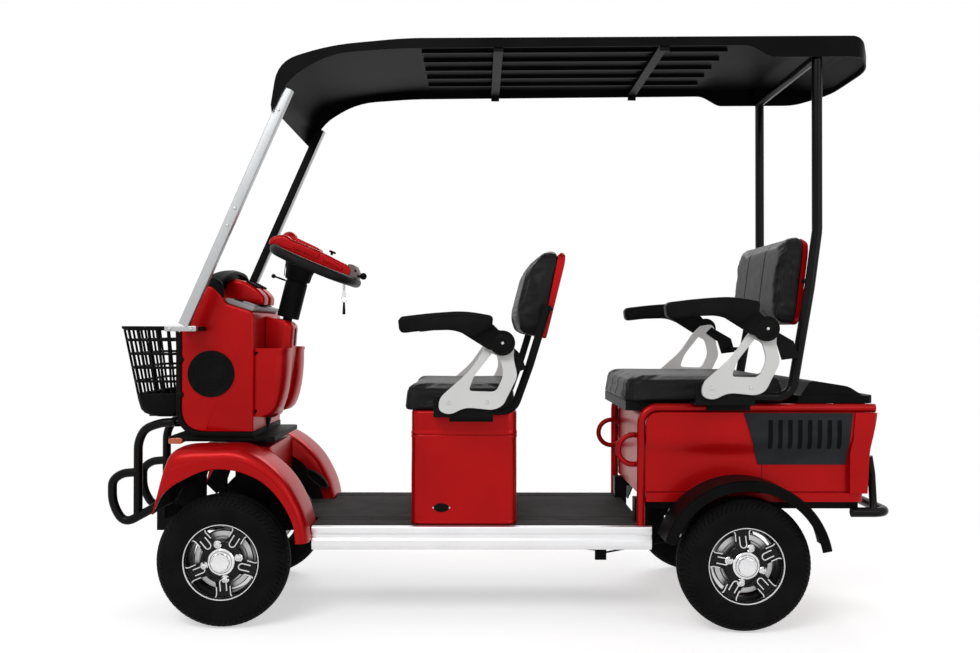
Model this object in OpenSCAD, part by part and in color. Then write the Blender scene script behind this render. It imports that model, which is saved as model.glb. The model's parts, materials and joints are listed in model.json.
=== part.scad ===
// Four-wheel mobility scooter with two seat rows and a long roof.
// +X runs to the rear, +Z is up, and the left side of the scooter is at -Y.
// Inside the modules, X is counted from the front axle and heights from the ground or the deck.

/* [Wheels] */
// Distance between the front and rear axles
wheelbase = 1494; // [1460:2:1530]
// Outside diameter of each tyre
tyre_d = 384; // [374:2:392]
// Width of each tyre
tyre_w = 100; // [90:1:104]
// Diameter of the bead seat of the alloy rims
rim_d = 203.2; // [196:0.2:210]
// Width of the alloy rims over their flanges
rim_w = 80; // [74:1:84]
// Height of the rim flange over the bead seat
flange_h = 9.4; // [7:0.2:11]
// Diameter of the wheel stubs
stub_d = 25; // [22:1:30]
// Distance between the middles of the front tyres
front_track = 590; // [580:2:600]
// Distance between the middles of the rear tyres
rear_track = 676; // [670:2:684]
// Number of twin spokes in a rim
spoke_count = 5; // [5:1:6]
// Width of one twin spoke
spoke_w = 46; // [40:1:50]
// Bolt circle of the lug nuts
lug_pcd = 101; // [96:1:106]
// Diameter of the chrome hub cap
cap_d = 50; // [40:1:56]

/* [Steering] */
// Distance between the two kingpins
kingpin_span = 450; // [444:2:454]
// Diameter of the kingpins
kingpin_d = 16; // [14:1:18]
// Length of the steering arms from kingpin to tie rod
steer_arm = 84; // [78:1:90]
// Lean of the steering column from upright, in degrees
column_lean = 13.9; // [12:0.1:16]
// Diameter of the black column cover
column_d = 70; // [64:1:76]
// Diameter of the steering shaft
shaft_d = 30; // [26:1:34]
// Diameter of the loop handle's tube
loop_d = 30; // [26:1:34]
// Width of the loop handle over its tube
loop_w = 340; // [320:2:360]
// Length of the loop handle over its tube
loop_l = 298; // [290:2:310]

/* [Deck] */
// Height of the deck's walking surface above the ground
deck_z = 285; // [280:1:292]
// Width of the ribbed mat
mat_w = 544; // [530:2:544]
// Thickness of the ribbed mat
mat_t = 4; // [3:0.5:6]
// Distance of the deck's front edge behind the front axle
deck_front = 250; // [248:1:256]
// Height of the aluminium side rails
rail_h = 68; // [60:1:74]
// Thickness of the aluminium side rails
rail_t = 18; // [14:1:22]

/* [Front body] */
// Width of the moulded front body over its wheel arches
fender_w = 700; // [690:2:710]
// Thickness of the moulded skins
skin_t = 4; // [3:0.5:5]
// Width of the cowl
cowl_w = 380; // [370:2:390]
// Height of the cowl's lower edge above the deck
cowl_h = 263; // [258:1:268]
// Width of the black edging along the cowl
edging_w = 15; // [12:1:18]
// Diameter of the round speakers in the cowl's sides
speaker_d = 140; // [120:2:150]
// Width of the front basket at its rim
basket_w = 380; // [360:2:390]
// Diameter of the bumper tubes
bumper_d = 27; // [24:1:32]
// Distance between the two front bumper loops
bumper_span = 260; // [240:2:270]

/* [Roof] */
// Height of the roof's top edge above the deck, over the driver
roof_h = 1419; // [1400:1:1440]
// Width of the roof
roof_w = 600; // [590:2:610]
// Depth of the roof's side skirts
skirt_h = 30; // [26:1:34]
// Rise of the roof from front to rear
roof_rise = 16; // [8:1:24]
// Breadth of the aluminium pillars, seen from the side
pillar_b = 29; // [26:1:34]
// Thickness of the aluminium pillars
pillar_t = 25; // [20:1:28]
// Diameter of the rear roof hoop's tube
hoop_d = 30; // [26:1:34]

/* [Seats] */
// Distance of the seat box behind the front axle
seat_x = 536; // [520:2:560]
// Length of the seat box
seat_box_l = 312; // [300:2:320]
// Width of the seat box
seat_box_w = 524; // [510:2:526]
// Height of the seat box, without its lid
seat_box_h = 263; // [255:1:270]
// Height of the seat box's lid
seat_lid_h = 71; // [66:1:76]
// Width of the seat cushions
cushion_w = 510; // [490:2:520]
// Thickness of the seat cushions
cushion_t = 76; // [70:1:80]
// Thickness of the white armrest brackets
bracket_t = 12; // [10:1:14]
// Distance between the outer faces of the armrest brackets
bracket_span = 690; // [680:2:696]
// Width of an armrest pad
pad_w = 50; // [44:1:54]
// Diameter of the armrest pivot discs
pivot_disc_d = 72; // [66:1:76]
// Diameter of the armrest pivot pins
pivot_d = 12; // [10:1:14]

/* [Rear box] */
// Width of the rear box over its side panels
box_w = 560; // [550:2:566]
// Height of the rear box's top edge above the deck
box_h = 333; // [328:1:340]
// Height of the rear box's underside above the deck
box_low = 70; // [66:1:76]
// Depth of the pressed step in the box's sides
step_d = 14; // [10:1:18]
// Diameter of the red box frame tubes
frame_tube_d = 25; // [22:1:28]
// Number of slots in a louvre
slot_count = 8; // [6:1:8]
// Width of the rear fenders, outwards from the box
fender_reach = 115; // [110:1:118]
// Gap between a rear tyre and its fender
fender_gap = 48; // [40:1:54]
// Outside diameter of the assist rings
ring_d = 104; // [96:1:112]

/* [Fits] */
// Gap between pieces that lie against each other
seat_gap = 0.3; // [0.2:0.1:0.5]
// Radial clearance of the pins and shafts that turn
run_gap = 0.05; // [0.02:0.01:0.08]

/* [Hidden] */
$fn = 48;

// Colours
red = "firebrick";
black = "#1c1c1e";
leather = "#2b2b2d";
steel = "#2a2a2c";
silver = "silver";
white = "white";
grey = "#4c4d50";

// Stations and heights that several pieces share
axle_z = tyre_d / 2;
front_reach = 402;
rear_reach = 477;
mid_x = (wheelbase + rear_reach - front_reach) / 2;
axle_y_front = front_track / 2;
axle_y_rear = rear_track / 2;
kingpin_y = kingpin_span / 2;
box_front = wheelbase - 268;
box_rear = wheelbase + 380;
deck_end = box_front - 4;
deck_plate_t = 4;
bracket_y = bracket_span / 2;
pad_y0 = bracket_y + seat_gap;
pin_end_y = pad_y0 + 22;

// ---------- helpers ----------

function unit(v) = v / norm(v);

// Outline whose corners [x, y, reach] are eased by a curve that starts reach before the corner
// and stays within half of the edges beside it
function ease(p, q, s, steps) =
    let (c = [q[0], q[1]], back = [p[0], p[1]] - c, on = [s[0], s[1]] - c,
        r = len(q) > 2 ? min(q[2], 0.48 * norm(back), 0.48 * norm(on)) : 0,
        a = c + unit(back) * r, b = c + unit(on) * r)
    r == 0 ? [c] : [for (k = [0 : steps]) let (t = k / steps)
        a * pow(1 - t, 2) + c * 2 * t * (1 - t) + b * pow(t, 2)];
function eased(pts, steps = 6) = let (n = len(pts))
    [for (i = [0 : n - 1]) each ease(pts[(i + n - 1) % n], pts[i], pts[(i + 1) % n], steps)];

// Outline or list of corners moved inwards by d; it runs anticlockwise, and corners keep
// their reach
function flat(p) = [p[0], p[1]];
function inset(pts, d) = let (n = len(pts))
    [for (i = [0 : n - 1])
        let (c = flat(pts[i]), u = unit(c - flat(pts[(i + n - 1) % n])),
            v = unit(flat(pts[(i + 1) % n]) - c), m = [-u[1], u[0]], k = [-v[1], v[0]])
        concat(c + (m + k) * d / (1 + m * k), len(pts[i]) > 2 ? [pts[i][2]] : [])];

// Plate with its outline in X and Z, between two values of Y
module side_plate(pts, y0, y1)
    translate([0, y1, 0]) rotate([90, 0, 0]) linear_extrude(y1 - y0) polygon(pts);

// Plate with its outline in X and Y, between two heights
module plan_plate(pts, z0, z1)
    translate([0, 0, z0]) linear_extrude(z1 - z0) polygon(pts);

// Bar with its outline in Y and Z, between two values of X
module cross_bar(pts, x0, x1)
    translate([x0, 0, 0]) rotate([90, 0, 90]) linear_extrude(x1 - x0) polygon(pts);

// Round pin along Y
module pin_y(r, y0, y1)
    translate([0, y1, 0]) rotate([90, 0, 0]) cylinder(r = r, h = y1 - y0);

module block(x0, x1, y0, y1, z0, z1)
    translate([x0, y0, z0]) cube([x1 - x0, y1 - y0, z1 - z0]);

module both_sides() {
    children();
    mirror([0, 1, 0]) children();
}

// Straight rod between two points
module rod(p, q, d) {
    v = q - p;
    translate(p) rotate([0, acos(v[2] / norm(v)), atan2(v[1], v[0])])
        cylinder(d = d, h = norm(v));
}

function bend_cut(p, q, s, r) = let (a = unit(p - q), b = unit(s - q))
    r * sqrt((1 + a * b) / (1 - a * b));

// Elbow of bend radius r at the corner q of a path p, q, s; it is let into the straight
// tubes at both ends by elbow_seat, and is thinner than they are by elbow_step
elbow_seat = 1.2;
elbow_step = 0.7;
module elbow(p, q, s, d, r) {
    seat_angle = elbow_seat / r * 180 / PI;
    a = unit(p - q);
    b = unit(s - q);
    start = q + a * bend_cut(p, q, s, r);
    centre = q + unit(a + b) * r / sqrt((1 - a * b) / 2);
    ex = unit(start - centre);
    ey = -a;
    ez = cross(ex, ey);
    multmatrix([[ex[0], ey[0], ez[0], centre[0]], [ex[1], ey[1], ez[1], centre[1]],
            [ex[2], ey[2], ez[2], centre[2]], [0, 0, 0, 1]])
        rotate([0, 0, -seat_angle])
            rotate_extrude(angle = 180 - acos(a * b) + 2 * seat_angle)
                translate([r, 0]) circle(d = d - elbow_step);
}

// Round tube bent through the points of a path
module bent_tube(path, d, r, closed = false) {
    n = len(path);
    last = closed ? n - 1 : n - 2;
    for (i = [0 : last]) {
        p = path[i];
        q = path[(i + 1) % n];
        before = closed || i > 0 ? bend_cut(path[(i + n - 1) % n], p, q, r) : 0;
        after = closed || i < n - 2 ? bend_cut(p, q, path[(i + 2) % n], r) : 0;
        rod(p + unit(q - p) * before, q + unit(p - q) * after, d);
    }
    for (i = [(closed ? 0 : 1) : (closed ? n - 1 : n - 2)])
        elbow(path[(i + n - 1) % n], path[i], path[(i + 1) % n], d, r);
}

// Places of the large groups
module place() translate([-mid_x, 0, 0]) children();
module on_deck() translate([0, 0, deck_z]) children();
module at_rear() translate([wheelbase, 0, deck_z]) children();
module at_seat() translate([seat_x, 0, deck_z]) children();

// ---------- wheels: local +Z points away from the scooter ----------

spoke_face = rim_w / 2 - 9;
hub_in = -22;

module tyre() {
    half = tyre_w / 2;
    r = tyre_d / 2;
    bead = rim_d / 2 + 0.2;
    lip = rim_d / 2 + flange_h + 0.6;
    bead_half = rim_w / 2 - 4.3;
    groove_w = 5;
    color(black) difference() {
        rotate_extrude($fn = 96) polygon(eased([[bead, -bead_half], [lip, -bead_half],
            [lip, -rim_w / 2], [(r + lip) / 2, -half - 1, 18], [r - 3, -half + 4, 12],
            [r, 0], [r - 3, half - 4, 12], [(r + lip) / 2, half + 1, 18],
            [lip, rim_w / 2], [lip, bead_half], [bead, bead_half]], 4));
        for (z = [-0.24, 0, 0.24] * tyre_w)
            rotate_extrude($fn = 96) translate([r - 6, z - groove_w / 2]) square([10, groove_w]);
    }
}

// Alloy rim: barrel with two flanges, twin spokes, drum, hub cap and four lug nuts
module rim() {
    seat = rim_d / 2;
    lip = seat + flange_h;
    barrel = seat - 5;
    half = rim_w / 2;
    well = seat - 14;
    color(silver) {
        difference() {
            union() {
                rotate_extrude($fn = 96) polygon([[barrel, -half], [lip, -half], [lip, -half + 4],
                    [seat, -half + 4], [seat, -12], [well, -6], [well, 12], [seat, 20],
                    [seat, half - 4], [lip, half - 4], [lip, half], [barrel, half],
                    [barrel, 22], [well - 4, 14], [well - 4, -8], [barrel, -14]]);
                for (k = [0 : spoke_count - 1]) rotate([0, 0, k * 360 / spoke_count])
                    twin_spoke(seat - 2);
                translate([0, 0, 6]) cylinder(r = lug_pcd / 2 + 11, h = spoke_face - 10);
                translate([0, 0, hub_in]) cylinder(r = stub_d / 2 + 14, h = spoke_face - hub_in);
                translate([0, 0, hub_in]) cylinder(r = 76, h = 26);
                for (k = [0 : 3]) rotate([0, 0, 45 + 90 * k]) translate([lug_pcd / 2, 0, 0])
                    cylinder(d = 17, h = spoke_face + 3, $fn = 6);
                cylinder(d = cap_d * 1.5, h = spoke_face + 4);
                cylinder(d = cap_d, h = tyre_w / 2 - 2);
            }
            translate([0, 0, hub_in - 1]) cylinder(r = stub_d / 2 + run_gap, h = 44);
        }
    }
}

// One spoke: two legs with a round-ended groove between them
module twin_spoke(reach) {
    groove = spoke_w * 0.36;
    difference() {
        translate([30, -spoke_w / 2, spoke_face - 16]) cube([reach - 32, spoke_w, 16]);
        translate([0, 0, spoke_face - 7]) linear_extrude(8) union() {
            translate([60, 0]) circle(d = groove);
            translate([60, -groove / 2]) square([reach, groove]);
        }
    }
}

module wheel_place(x, y)
    translate([x, y, axle_z]) rotate([y < 0 ? 90 : -90, 0, 0]) children();

// ---------- chassis ----------

rail_y = 200;
front_rail_y = 118;
frame_top = deck_z - mat_t - deck_plate_t;
beam_h = 30;
ear_z = 30;
rear_frame_z = deck_z + box_low - 30;

module chassis_frame() color(steel) {
    // main rails, deck plate and cross members
    both_sides() block(deck_front, deck_end, rail_y - 20, rail_y + 20, frame_top - 50, frame_top);
    block(deck_front, deck_end, -mat_w / 2, mat_w / 2, frame_top, frame_top + deck_plate_t);
    block(toe_x + seat_gap, deck_front + 1, -tunnel_y + seat_gap, tunnel_y - seat_gap,
        frame_top, frame_top + deck_plate_t);
    for (x = [deck_front, (deck_front + deck_end) / 2, deck_end - 40])
        block(x, x + 40, -mat_w / 2, mat_w / 2, frame_top - 36, frame_top);
    // front rails between the steered wheels
    both_sides() {
        block(-240, deck_front + 20, front_rail_y - 18, front_rail_y + 18,
            frame_top - 36, frame_top);
        block(-18, 18, front_rail_y - 18, front_rail_y + 18, axle_z, frame_top - 20);
        for (x = [-118, 72])
            block(x - 12, x + 12, front_rail_y - 12, front_rail_y + 12, frame_top - 10,
                deck_z + head_plate_h);
    }
    block(-250, -226, -front_rail_y - 18, front_rail_y + 18, frame_top - 36, frame_top + 60);
    block(-140, 96, -front_rail_y - 14, front_rail_y + 14, deck_z + head_plate_h - 8,
        deck_z + head_plate_h);
    // rear frame over the axle
    both_sides() {
        block(deck_end - 20, deck_end + 20, rail_y - 20, rail_y + 20, frame_top - 50,
            rear_frame_z + 30);
        block(deck_end - 20, box_rear, rail_y - 20, rail_y + 20, rear_frame_z, rear_frame_z + 30);
    }
    block(box_rear - 30, box_rear, -rail_y, rail_y, rear_frame_z, rear_frame_z + 30);
    // front axle beam with its kingpin forks
    block(-18, 18, -kingpin_y + 20, kingpin_y - 20, axle_z - beam_h / 2, axle_z + beam_h / 2);
    both_sides() kingpin_fork();
    // head tube of the steering column
    head_tube();
    // brake linkage bracket and rods under the deck
    brake_bracket();
}

module kingpin_fork() translate([0, -kingpin_y, axle_z]) {
    block(-18, 18, 20, 44, -ear_z - 10, ear_z + 10);
    for (z = [-ear_z - 10, ear_z]) hull() {
        translate([0, 0, z]) cylinder(d = 34, h = 10, $fn = 32);
        block(-18, 18, 22, 30, z, z + 10);
    }
    translate([0, 0, -ear_z - 14]) cylinder(d = kingpin_d, h = 2 * ear_z + 28);
}

column_x = 120;
column_h = 609;
head_plate_h = 188;
// Point on the steering axis at a height above the deck
function on_axis(h) = [column_x + (h - column_h) * tan(column_lean), 0, h];
module along_column(h) translate([0, 0, deck_z]) translate(on_axis(h))
    rotate([0, column_lean, 0]) children();

module head_tube() difference() {
    along_column(head_plate_h) cylinder(d = shaft_d + 24, h = column_h - head_plate_h);
    along_column(head_plate_h - 30) cylinder(d = shaft_d + 6, h = column_h - head_plate_h - 20);
    along_column(head_plate_h - 30) cylinder(r = shaft_d / 2 + run_gap, h = column_h);
}

module brake_bracket() {
    x = deck_end - 110;
    block(x, x + 36, -6, 6, frame_top - 160, frame_top + 1);
    rod([x + 18, 0, frame_top - 130], [x - 150, 0, frame_top - 112], 7);
    rod([x + 18, 0, frame_top - 140], [wheelbase - motor_r - 1, 0, axle_z], 6);
    translate([x + 18, 0, frame_top - 130]) pin_y(8, -16, 16);
}

motor_r = 72;

module rear_axle() color(steel) {
    translate([wheelbase, 0, axle_z]) {
        pin_y(24, -axle_y_rear + 28, axle_y_rear - 28);
        pin_y(stub_d / 2, -axle_y_rear - 18, axle_y_rear + 18);
        pin_y(motor_r, -50, 60);
        translate([70, 0, 0]) pin_y(52, -40, 130);
        both_sides() pin_y(70, -axle_y_rear + 24, -axle_y_rear + 34);
    }
    both_sides() block(wheelbase - 22, wheelbase + 22, rail_y - 16, rail_y + 16, axle_z,
        rear_frame_z - seat_gap);
}

module floor_mat() color(black) on_deck() difference() {
    union() {
        block(deck_front, deck_end, -mat_w / 2, mat_w / 2, -mat_t + 0.1, 0);
        block(toe_x + seat_gap, deck_front + 1, -tunnel_y + seat_gap, tunnel_y - seat_gap,
            -mat_t + 0.1, 0);
    }
    for (y = [-mat_w / 2 + 16 : 16 : mat_w / 2 - 16])
        block(toe_x - 1, deck_end + 1, y - 2, y + 2, -1.2, 1);
    // notches round the posts of the rear frame
    both_sides() block(deck_end - 20 - seat_gap, deck_end + 1, rail_y - 20 - seat_gap,
        rail_y + 20 + seat_gap, -mat_t - 1, 1);
}

module side_rails() color(silver) on_deck() both_sides()
    cross_bar(eased([[-mat_w / 2 - rail_t, -rail_h + 12], [-mat_w / 2 - rail_t + 5, -rail_h],
        [-mat_w / 2 - seat_gap, -rail_h], [-mat_w / 2 - seat_gap, 0],
        [-mat_w / 2 - rail_t, 0, 5], [-mat_w / 2 - rail_t, -18],
        [-mat_w / 2 - rail_t + 4, -24], [-mat_w / 2 - rail_t + 4, -34],
        [-mat_w / 2 - rail_t, -40]], 3), deck_front, deck_end + 20);

// ---------- front body ----------

fender_rear = deck_front - seat_gap;
fender_h = 233;
tunnel_y = front_rail_y + 30;
toe_x = 104;
body_foot = -38;

// Tops of the wheel arches and of the tunnel between them, from front to rear
fender_top = eased([[-192, 46], [-158, fender_h - 14, 34], [-112, fender_h, 30],
    [60, fender_h, 90], [fender_rear - 20, 150, 80], [fender_rear, 0, 40],
    [fender_rear, body_foot]], 6);
tunnel_top = eased([[-150, 211], [90, 215], [98, 209, 4], [toe_x - 2, 190, 6],
    [toe_x, -mat_t - deck_plate_t + seat_gap]], 4);
arch = eased([[-250, 40], [-192, 46], [-165, 102, 30], [-80, 176, 70], [70, 176, 60],
    [146, 150, 70], [204, 30, 30], [214, body_foot - 1], [214, body_foot - 60],
    [-250, body_foot - 60]], 6);

// Chain of points moved to its right by d
function beside(pts, d) = let (n = len(pts)) [for (i = [0 : n - 1])
    let (u = unit(i == 0 ? pts[1] - pts[0] : pts[i] - pts[i - 1]),
        v = unit(i == n - 1 ? pts[i] - pts[i - 1] : pts[i + 1] - pts[i]),
        m = [u[1], -u[0]], k = [v[1], -v[0]])
    pts[i] + (m + k) * d / (1 + m * k)];
function reversed(pts) = [for (i = [len(pts) - 1 : -1 : 0]) pts[i]];

// Space under a chain, down to a depth
function under(chain, low) = concat(reversed(chain), [[chain[0][0], low],
    [chain[len(chain) - 1][0], low]]);

module front_body() color(red) on_deck() {
    half = fender_w / 2;
    floor_cut = body_foot - 50;
    difference() {
        union() {
            both_sides() side_plate(reversed(fender_top), -half, -tunnel_y);
            side_plate(concat(reversed(tunnel_top), [[-150, 120], [0, 0]]), -tunnel_y, tunnel_y);
        }
        both_sides() {
            side_plate(under(beside(fender_top, skin_t), floor_cut), -half + skin_t,
                -tunnel_y - skin_t);
            side_plate(arch, -half - 1, -half + skin_t + 1);
        }
        side_plate(under(beside(tunnel_top, skin_t), floor_cut), -tunnel_y - skin_t,
            tunnel_y + skin_t);
        block(-160, -140, -tunnel_y, tunnel_y, floor_cut, 196);
        translate([0, 0, -deck_z]) along_column(-60) cylinder(d = shaft_d + 40, h = 500);
    }
}

// ---------- cowl ----------

cowl_front = -161;
cowl_back = 56;
cowl_corners = [[cowl_front, 564], [cowl_front, cowl_h, 74], [cowl_back, cowl_h],
    [cowl_back, 624, 14], [-30, 651, 10], [-39, 672, 8], [-66, 699, 6], [-84, 705, 4],
    [-155, 579]];

module cowl() color(red) on_deck() difference() {
    side_plate(eased(cowl_corners), -cowl_w / 2, cowl_w / 2);
    side_plate(eased(inset(cowl_corners, skin_t)), -cowl_w / 2 + skin_t, cowl_w / 2 - skin_t);
    // open underneath and round the column
    block(cowl_front + 60, cowl_back - 30, -cowl_w / 2 + 30, cowl_w / 2 - 30,
        cowl_h - 5, cowl_h + 20);
    block(cowl_back - 60, cowl_back + 10, -34, 34, cowl_h - 5, column_h);
    for (y = [-1, 1]) translate([speaker_x, y * cowl_w / 2, speaker_h])
        pin_y(speaker_d / 2 - 12, -8, 8);
}

speaker_x = -70;
speaker_h = 438;

module speakers() color(grey) on_deck() both_sides()
    translate([speaker_x, -cowl_w / 2 - seat_gap, speaker_h]) {
        difference() {
            pin_y(speaker_d / 2, -5, 0);
            for (r = [1 : 5]) rotate([90, 0, 0]) translate([0, 0, 4])
                difference() {
                    cylinder(r = r * 10 + 2, h = 4);
                    translate([0, 0, -1]) cylinder(r = r * 10 - 2, h = 6);
                }
        }
        pin_y(speaker_d / 2 - 14, -2, 16);
        for (a = [45 : 90 : 315]) rotate([0, a, 0]) translate([speaker_d / 2 - 8, 0, 0])
            pin_y(3, -7, 0);
    }

module cowl_edging() color(black) on_deck() {
    inner = eased([[cowl_front - seat_gap, 564], [cowl_front - seat_gap, cowl_h - seat_gap, 74],
        [cowl_back, cowl_h - seat_gap]], 6);
    outer = eased([[cowl_front - edging_w, 564], [cowl_front - edging_w, cowl_h - edging_w, 90],
        [cowl_back, cowl_h - edging_w]], 6);
    difference() {
        side_plate(concat(outer, reversed(inner)), -cowl_w / 2 - 2, cowl_w / 2 + 2);
        block(-120, cowl_back + 1, -cowl_w / 2 + 20, cowl_w / 2 - 20, cowl_h - 30, cowl_h + 1);
    }
    // bolts on the edging and the lamp plate under it
    both_sides() for (h = [cowl_h + 112, cowl_h + 218])
        translate([cowl_front - 5, -cowl_w / 2, h]) pin_y(9, -8, 0);
    difference() {
        block(-205, 120, -cowl_w / 2, cowl_w / 2, fender_h + seat_gap, cowl_h - edging_w);
        translate([0, 0, -deck_z]) along_column(0) cylinder(d = shaft_d + 40, h = 500);
        block(-120, cowl_back + 1, -cowl_w / 2 + 20, cowl_w / 2 - 20, 200, cowl_h + 1);
    }
}

module dash_bezel() color(silver) on_deck() difference() {
    side_plate([[-22, 649.2], [48, 627.2], [54, 632], [56, 640], [-30, 668], [-34, 664],
        [-32, 658]], -cowl_w / 2 + 14, cowl_w / 2 - 14);
    block(-20, 34, -cowl_w / 2 + 26, -70, 600, 700);
    block(-20, 34, 70, cowl_w / 2 - 26, 600, 700);
    translate([0, 0, -deck_z]) along_column(300) cylinder(d = shaft_d + 50, h = 500);
}

// Driver's side moulding: two open pockets and the housing of the column
pocket_corners = [[cowl_back + seat_gap, 305], [104, 305, 24], [144, 400, 50],
    [150, 515], [cowl_back + seat_gap, 515]];

module pockets() color(red) on_deck() difference() {
    union() {
        both_sides() side_plate(eased(pocket_corners), -172, -26);
        side_plate(eased([[cowl_back + seat_gap, 290], [100, 290, 20], [150, 500, 30],
            [150, 596, 16], [cowl_back + seat_gap, 616]], 5), -52, 52);
    }
    both_sides() side_plate(eased(inset(pocket_corners, skin_t)), -172 + skin_t, -56);
    both_sides() block(cowl_back + 5, 144, -168, -56, 508, 530);
    translate([0, 0, -deck_z]) along_column(250) cylinder(d = shaft_d + 26, h = 500);
}

module hood() color(black) on_deck() difference() {
    side_plate(eased([[-102, 684], [-80, 686], [-45, 668.6], [-31, 668.6], [-34, 742, 14],
        [-66, 766, 12], [-92, 766, 14], [-112, 738, 16]], 4), -cowl_w / 2 + 4, cowl_w / 2 - 4);
    side_plate(eased(inset(cowl_corners, -seat_gap)), -cowl_w / 2, cowl_w / 2);
    side_plate(eased([[-84, 712], [-60, 715], [0, 690], [0, 735], [-70, 752]], 3),
        -cowl_w / 2 + 12, cowl_w / 2 - 12);
}

// ---------- basket and front bumper ----------

basket_top = 581;
basket_side = [[-284, 304], [-182, 300], [-182, basket_top], [-350, basket_top], [-306, 330]];
basket_face = [[-150, 296], [150, 296], [basket_w / 2, basket_top], [-basket_w / 2, basket_top]];

module basket_body(t)
    intersection() {
        side_plate(inset(basket_side, t), -basket_w, basket_w);
        cross_bar(inset(basket_face, t), -400, -100);
    }

module basket() color(black) on_deck() {
    bands = [376, 418, 460, 502, 544];
    bar = 9;
    difference() {
        basket_body(0);
        translate([0, 0, 0.01]) basket_body(5);
        block(-345, -188, -basket_w / 2 + 8, basket_w / 2 - 8, basket_top - 20, basket_top + 10);
        for (i = [0 : 4]) for (x = [-318 : 28 : -206])
            block(x, x + 28 - bar, -basket_w, basket_w, bands[i],
                min(bands[i] + 42 - bar, basket_top - 12));
        for (i = [0 : 4]) for (y = [-150 : 30 : 120])
            block(-400, -300, y, y + 30 - bar, bands[i], min(bands[i] + 42 - bar, basket_top - 12));
    }
}

module front_bumper() color(black) on_deck() {
    y = -bumper_span / 2;
    r = 40;
    fore = -front_reach + bumper_d / 2;
    both_sides() {
        bent_tube([[-310, y, -5], [-310, y, 250], [-225, y, 286], [-182, y, 286]], bumper_d, 50);
        bent_tube([[-310 + 6, y, 134], [fore + 6, y, 118], [fore, y, 34],
            [-350, y, -26], [-250 - seat_gap - bumper_d / 4, y, 26]], bumper_d, 24);
    }
    // carrier rods below the basket
    rod([-240, -basket_w / 2 + 50, 283], [-240, basket_w / 2 - 50, 283], 14);
    rod([-196, -cowl_w / 2 + 20, 286], [-196, cowl_w / 2 - 20, 286], 16);
}

// ---------- roof ----------

roof_end = wheelbase + 436;
roof_corner = wheelbase + 360;
pillar_y = roof_w / 2 - 8 - pillar_t / 2;
hoop_y = roof_w / 2 - 8 - hoop_d / 2;
hoop_x = wheelbase + 232;

roof_chain = eased([[130, roof_h - 195], [150, roof_h - 70, 60], [300, roof_h - 22, 90],
    [520, roof_h, 60], [wheelbase + 345, roof_h + roof_rise, 14], [roof_end, roof_h + roof_rise - 40]],
    6);
roof_low = eased([[roof_end, roof_h + roof_rise - 60], [wheelbase + 90, roof_h + roof_rise - 64, 14],
    [wheelbase + 30, roof_h + roof_rise - skirt_h, 20], [500, roof_h - skirt_h, 60],
    [300, roof_h - 46, 70], [180, roof_h - 120, 60], [133, roof_h - 218]], 5);
roof_plan = eased([[90, -roof_w / 2], [roof_corner, -roof_w / 2, 40], [roof_end, -150, 70],
    [roof_end, 150, 70], [roof_corner, roof_w / 2, 40], [90, roof_w / 2]], 6);

// Height of the roof's top over its long straight part, and a strip that runs along it
function roof_top(x) = roof_h + roof_rise * (x - 520) / (wheelbase + 345 - 520);
function roof_strip(x0, x1, low, high) = [[x0, roof_top(x0) + low], [x1, roof_top(x1) + low],
    [x1, roof_top(x1) + high], [x0, roof_top(x0) + high]];

module roof_shell() color(black) on_deck() {
    low = roof_h - 260;
    difference() {
        intersection() {
            side_plate(concat(reversed(roof_chain), reversed(roof_low)), -roof_w / 2, roof_w / 2);
            plan_plate(roof_plan, low, roof_h + 60);
        }
        intersection() {
            side_plate(concat([[roof_end + 20, low], [roof_end + 20, roof_h + roof_rise - 46]],
                reversed(beside(roof_chain, skin_t)), [[100, low]]), -roof_w, roof_w);
            plan_plate(inset(roof_plan, skin_t), low, roof_h + 60);
        }
    }
    // long stiffening ribs under the skin
    for (k = [-2 : 2]) side_plate(roof_strip(560, wheelbase - 10, -14, 1 - skin_t),
        k * 96 - 6, k * 96 + 6);
}

module roof_panel() color(grey) on_deck() difference() {
    intersection() {
        side_plate(roof_strip(540, 1350, seat_gap, 10), -200, 200);
        plan_plate(eased([[530, -200, 20], [1345, -200, 20], [1345, 200, 20], [530, 200, 20]], 3),
            roof_h - 10, roof_h + 60);
    }
    for (x = [740, 942, 1144]) side_plate(roof_strip(x - 2, x + 2, 7, 20), -190, 190);
}

module roof_straps() color(black) on_deck() {
    inside = roof_w / 2 - skin_t - seat_gap;
    for (x = [790, wheelbase - 219]) {
        block(x - 14, x + 14, -inside, inside, roof_top(x) - 24, roof_top(x) - 18);
        both_sides() block(x - 14, x + 14, -inside, -inside + 8, roof_top(x) - 40,
            roof_top(x) - 18);
    }
}

pillar_foot = [-124, 0, 584];
pillar_head = [178, 0, roof_h - 146];

module strut(p, q, b, t) {
    v = q - p;
    translate(p) rotate([0, -atan2(v[2], v[0]), 0]) translate([0, -t / 2, -b / 2])
        cube([norm(v), t, b]);
}

module pillars() color(silver) on_deck() {
    both_sides() translate([0, -pillar_y, 0]) {
        strut(pillar_foot, pillar_head, pillar_b, pillar_t);
        block(-178, -84, -pillar_t / 2 + 1.5, pillar_t / 2 - 1.5, 566, 582);
    }
    // stubs that bolt the pillar feet to the cowl's frame
    both_sides() translate([-98, 0, 574]) pin_y(6, -pillar_y, -cowl_w / 2 - seat_gap);
}

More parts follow.
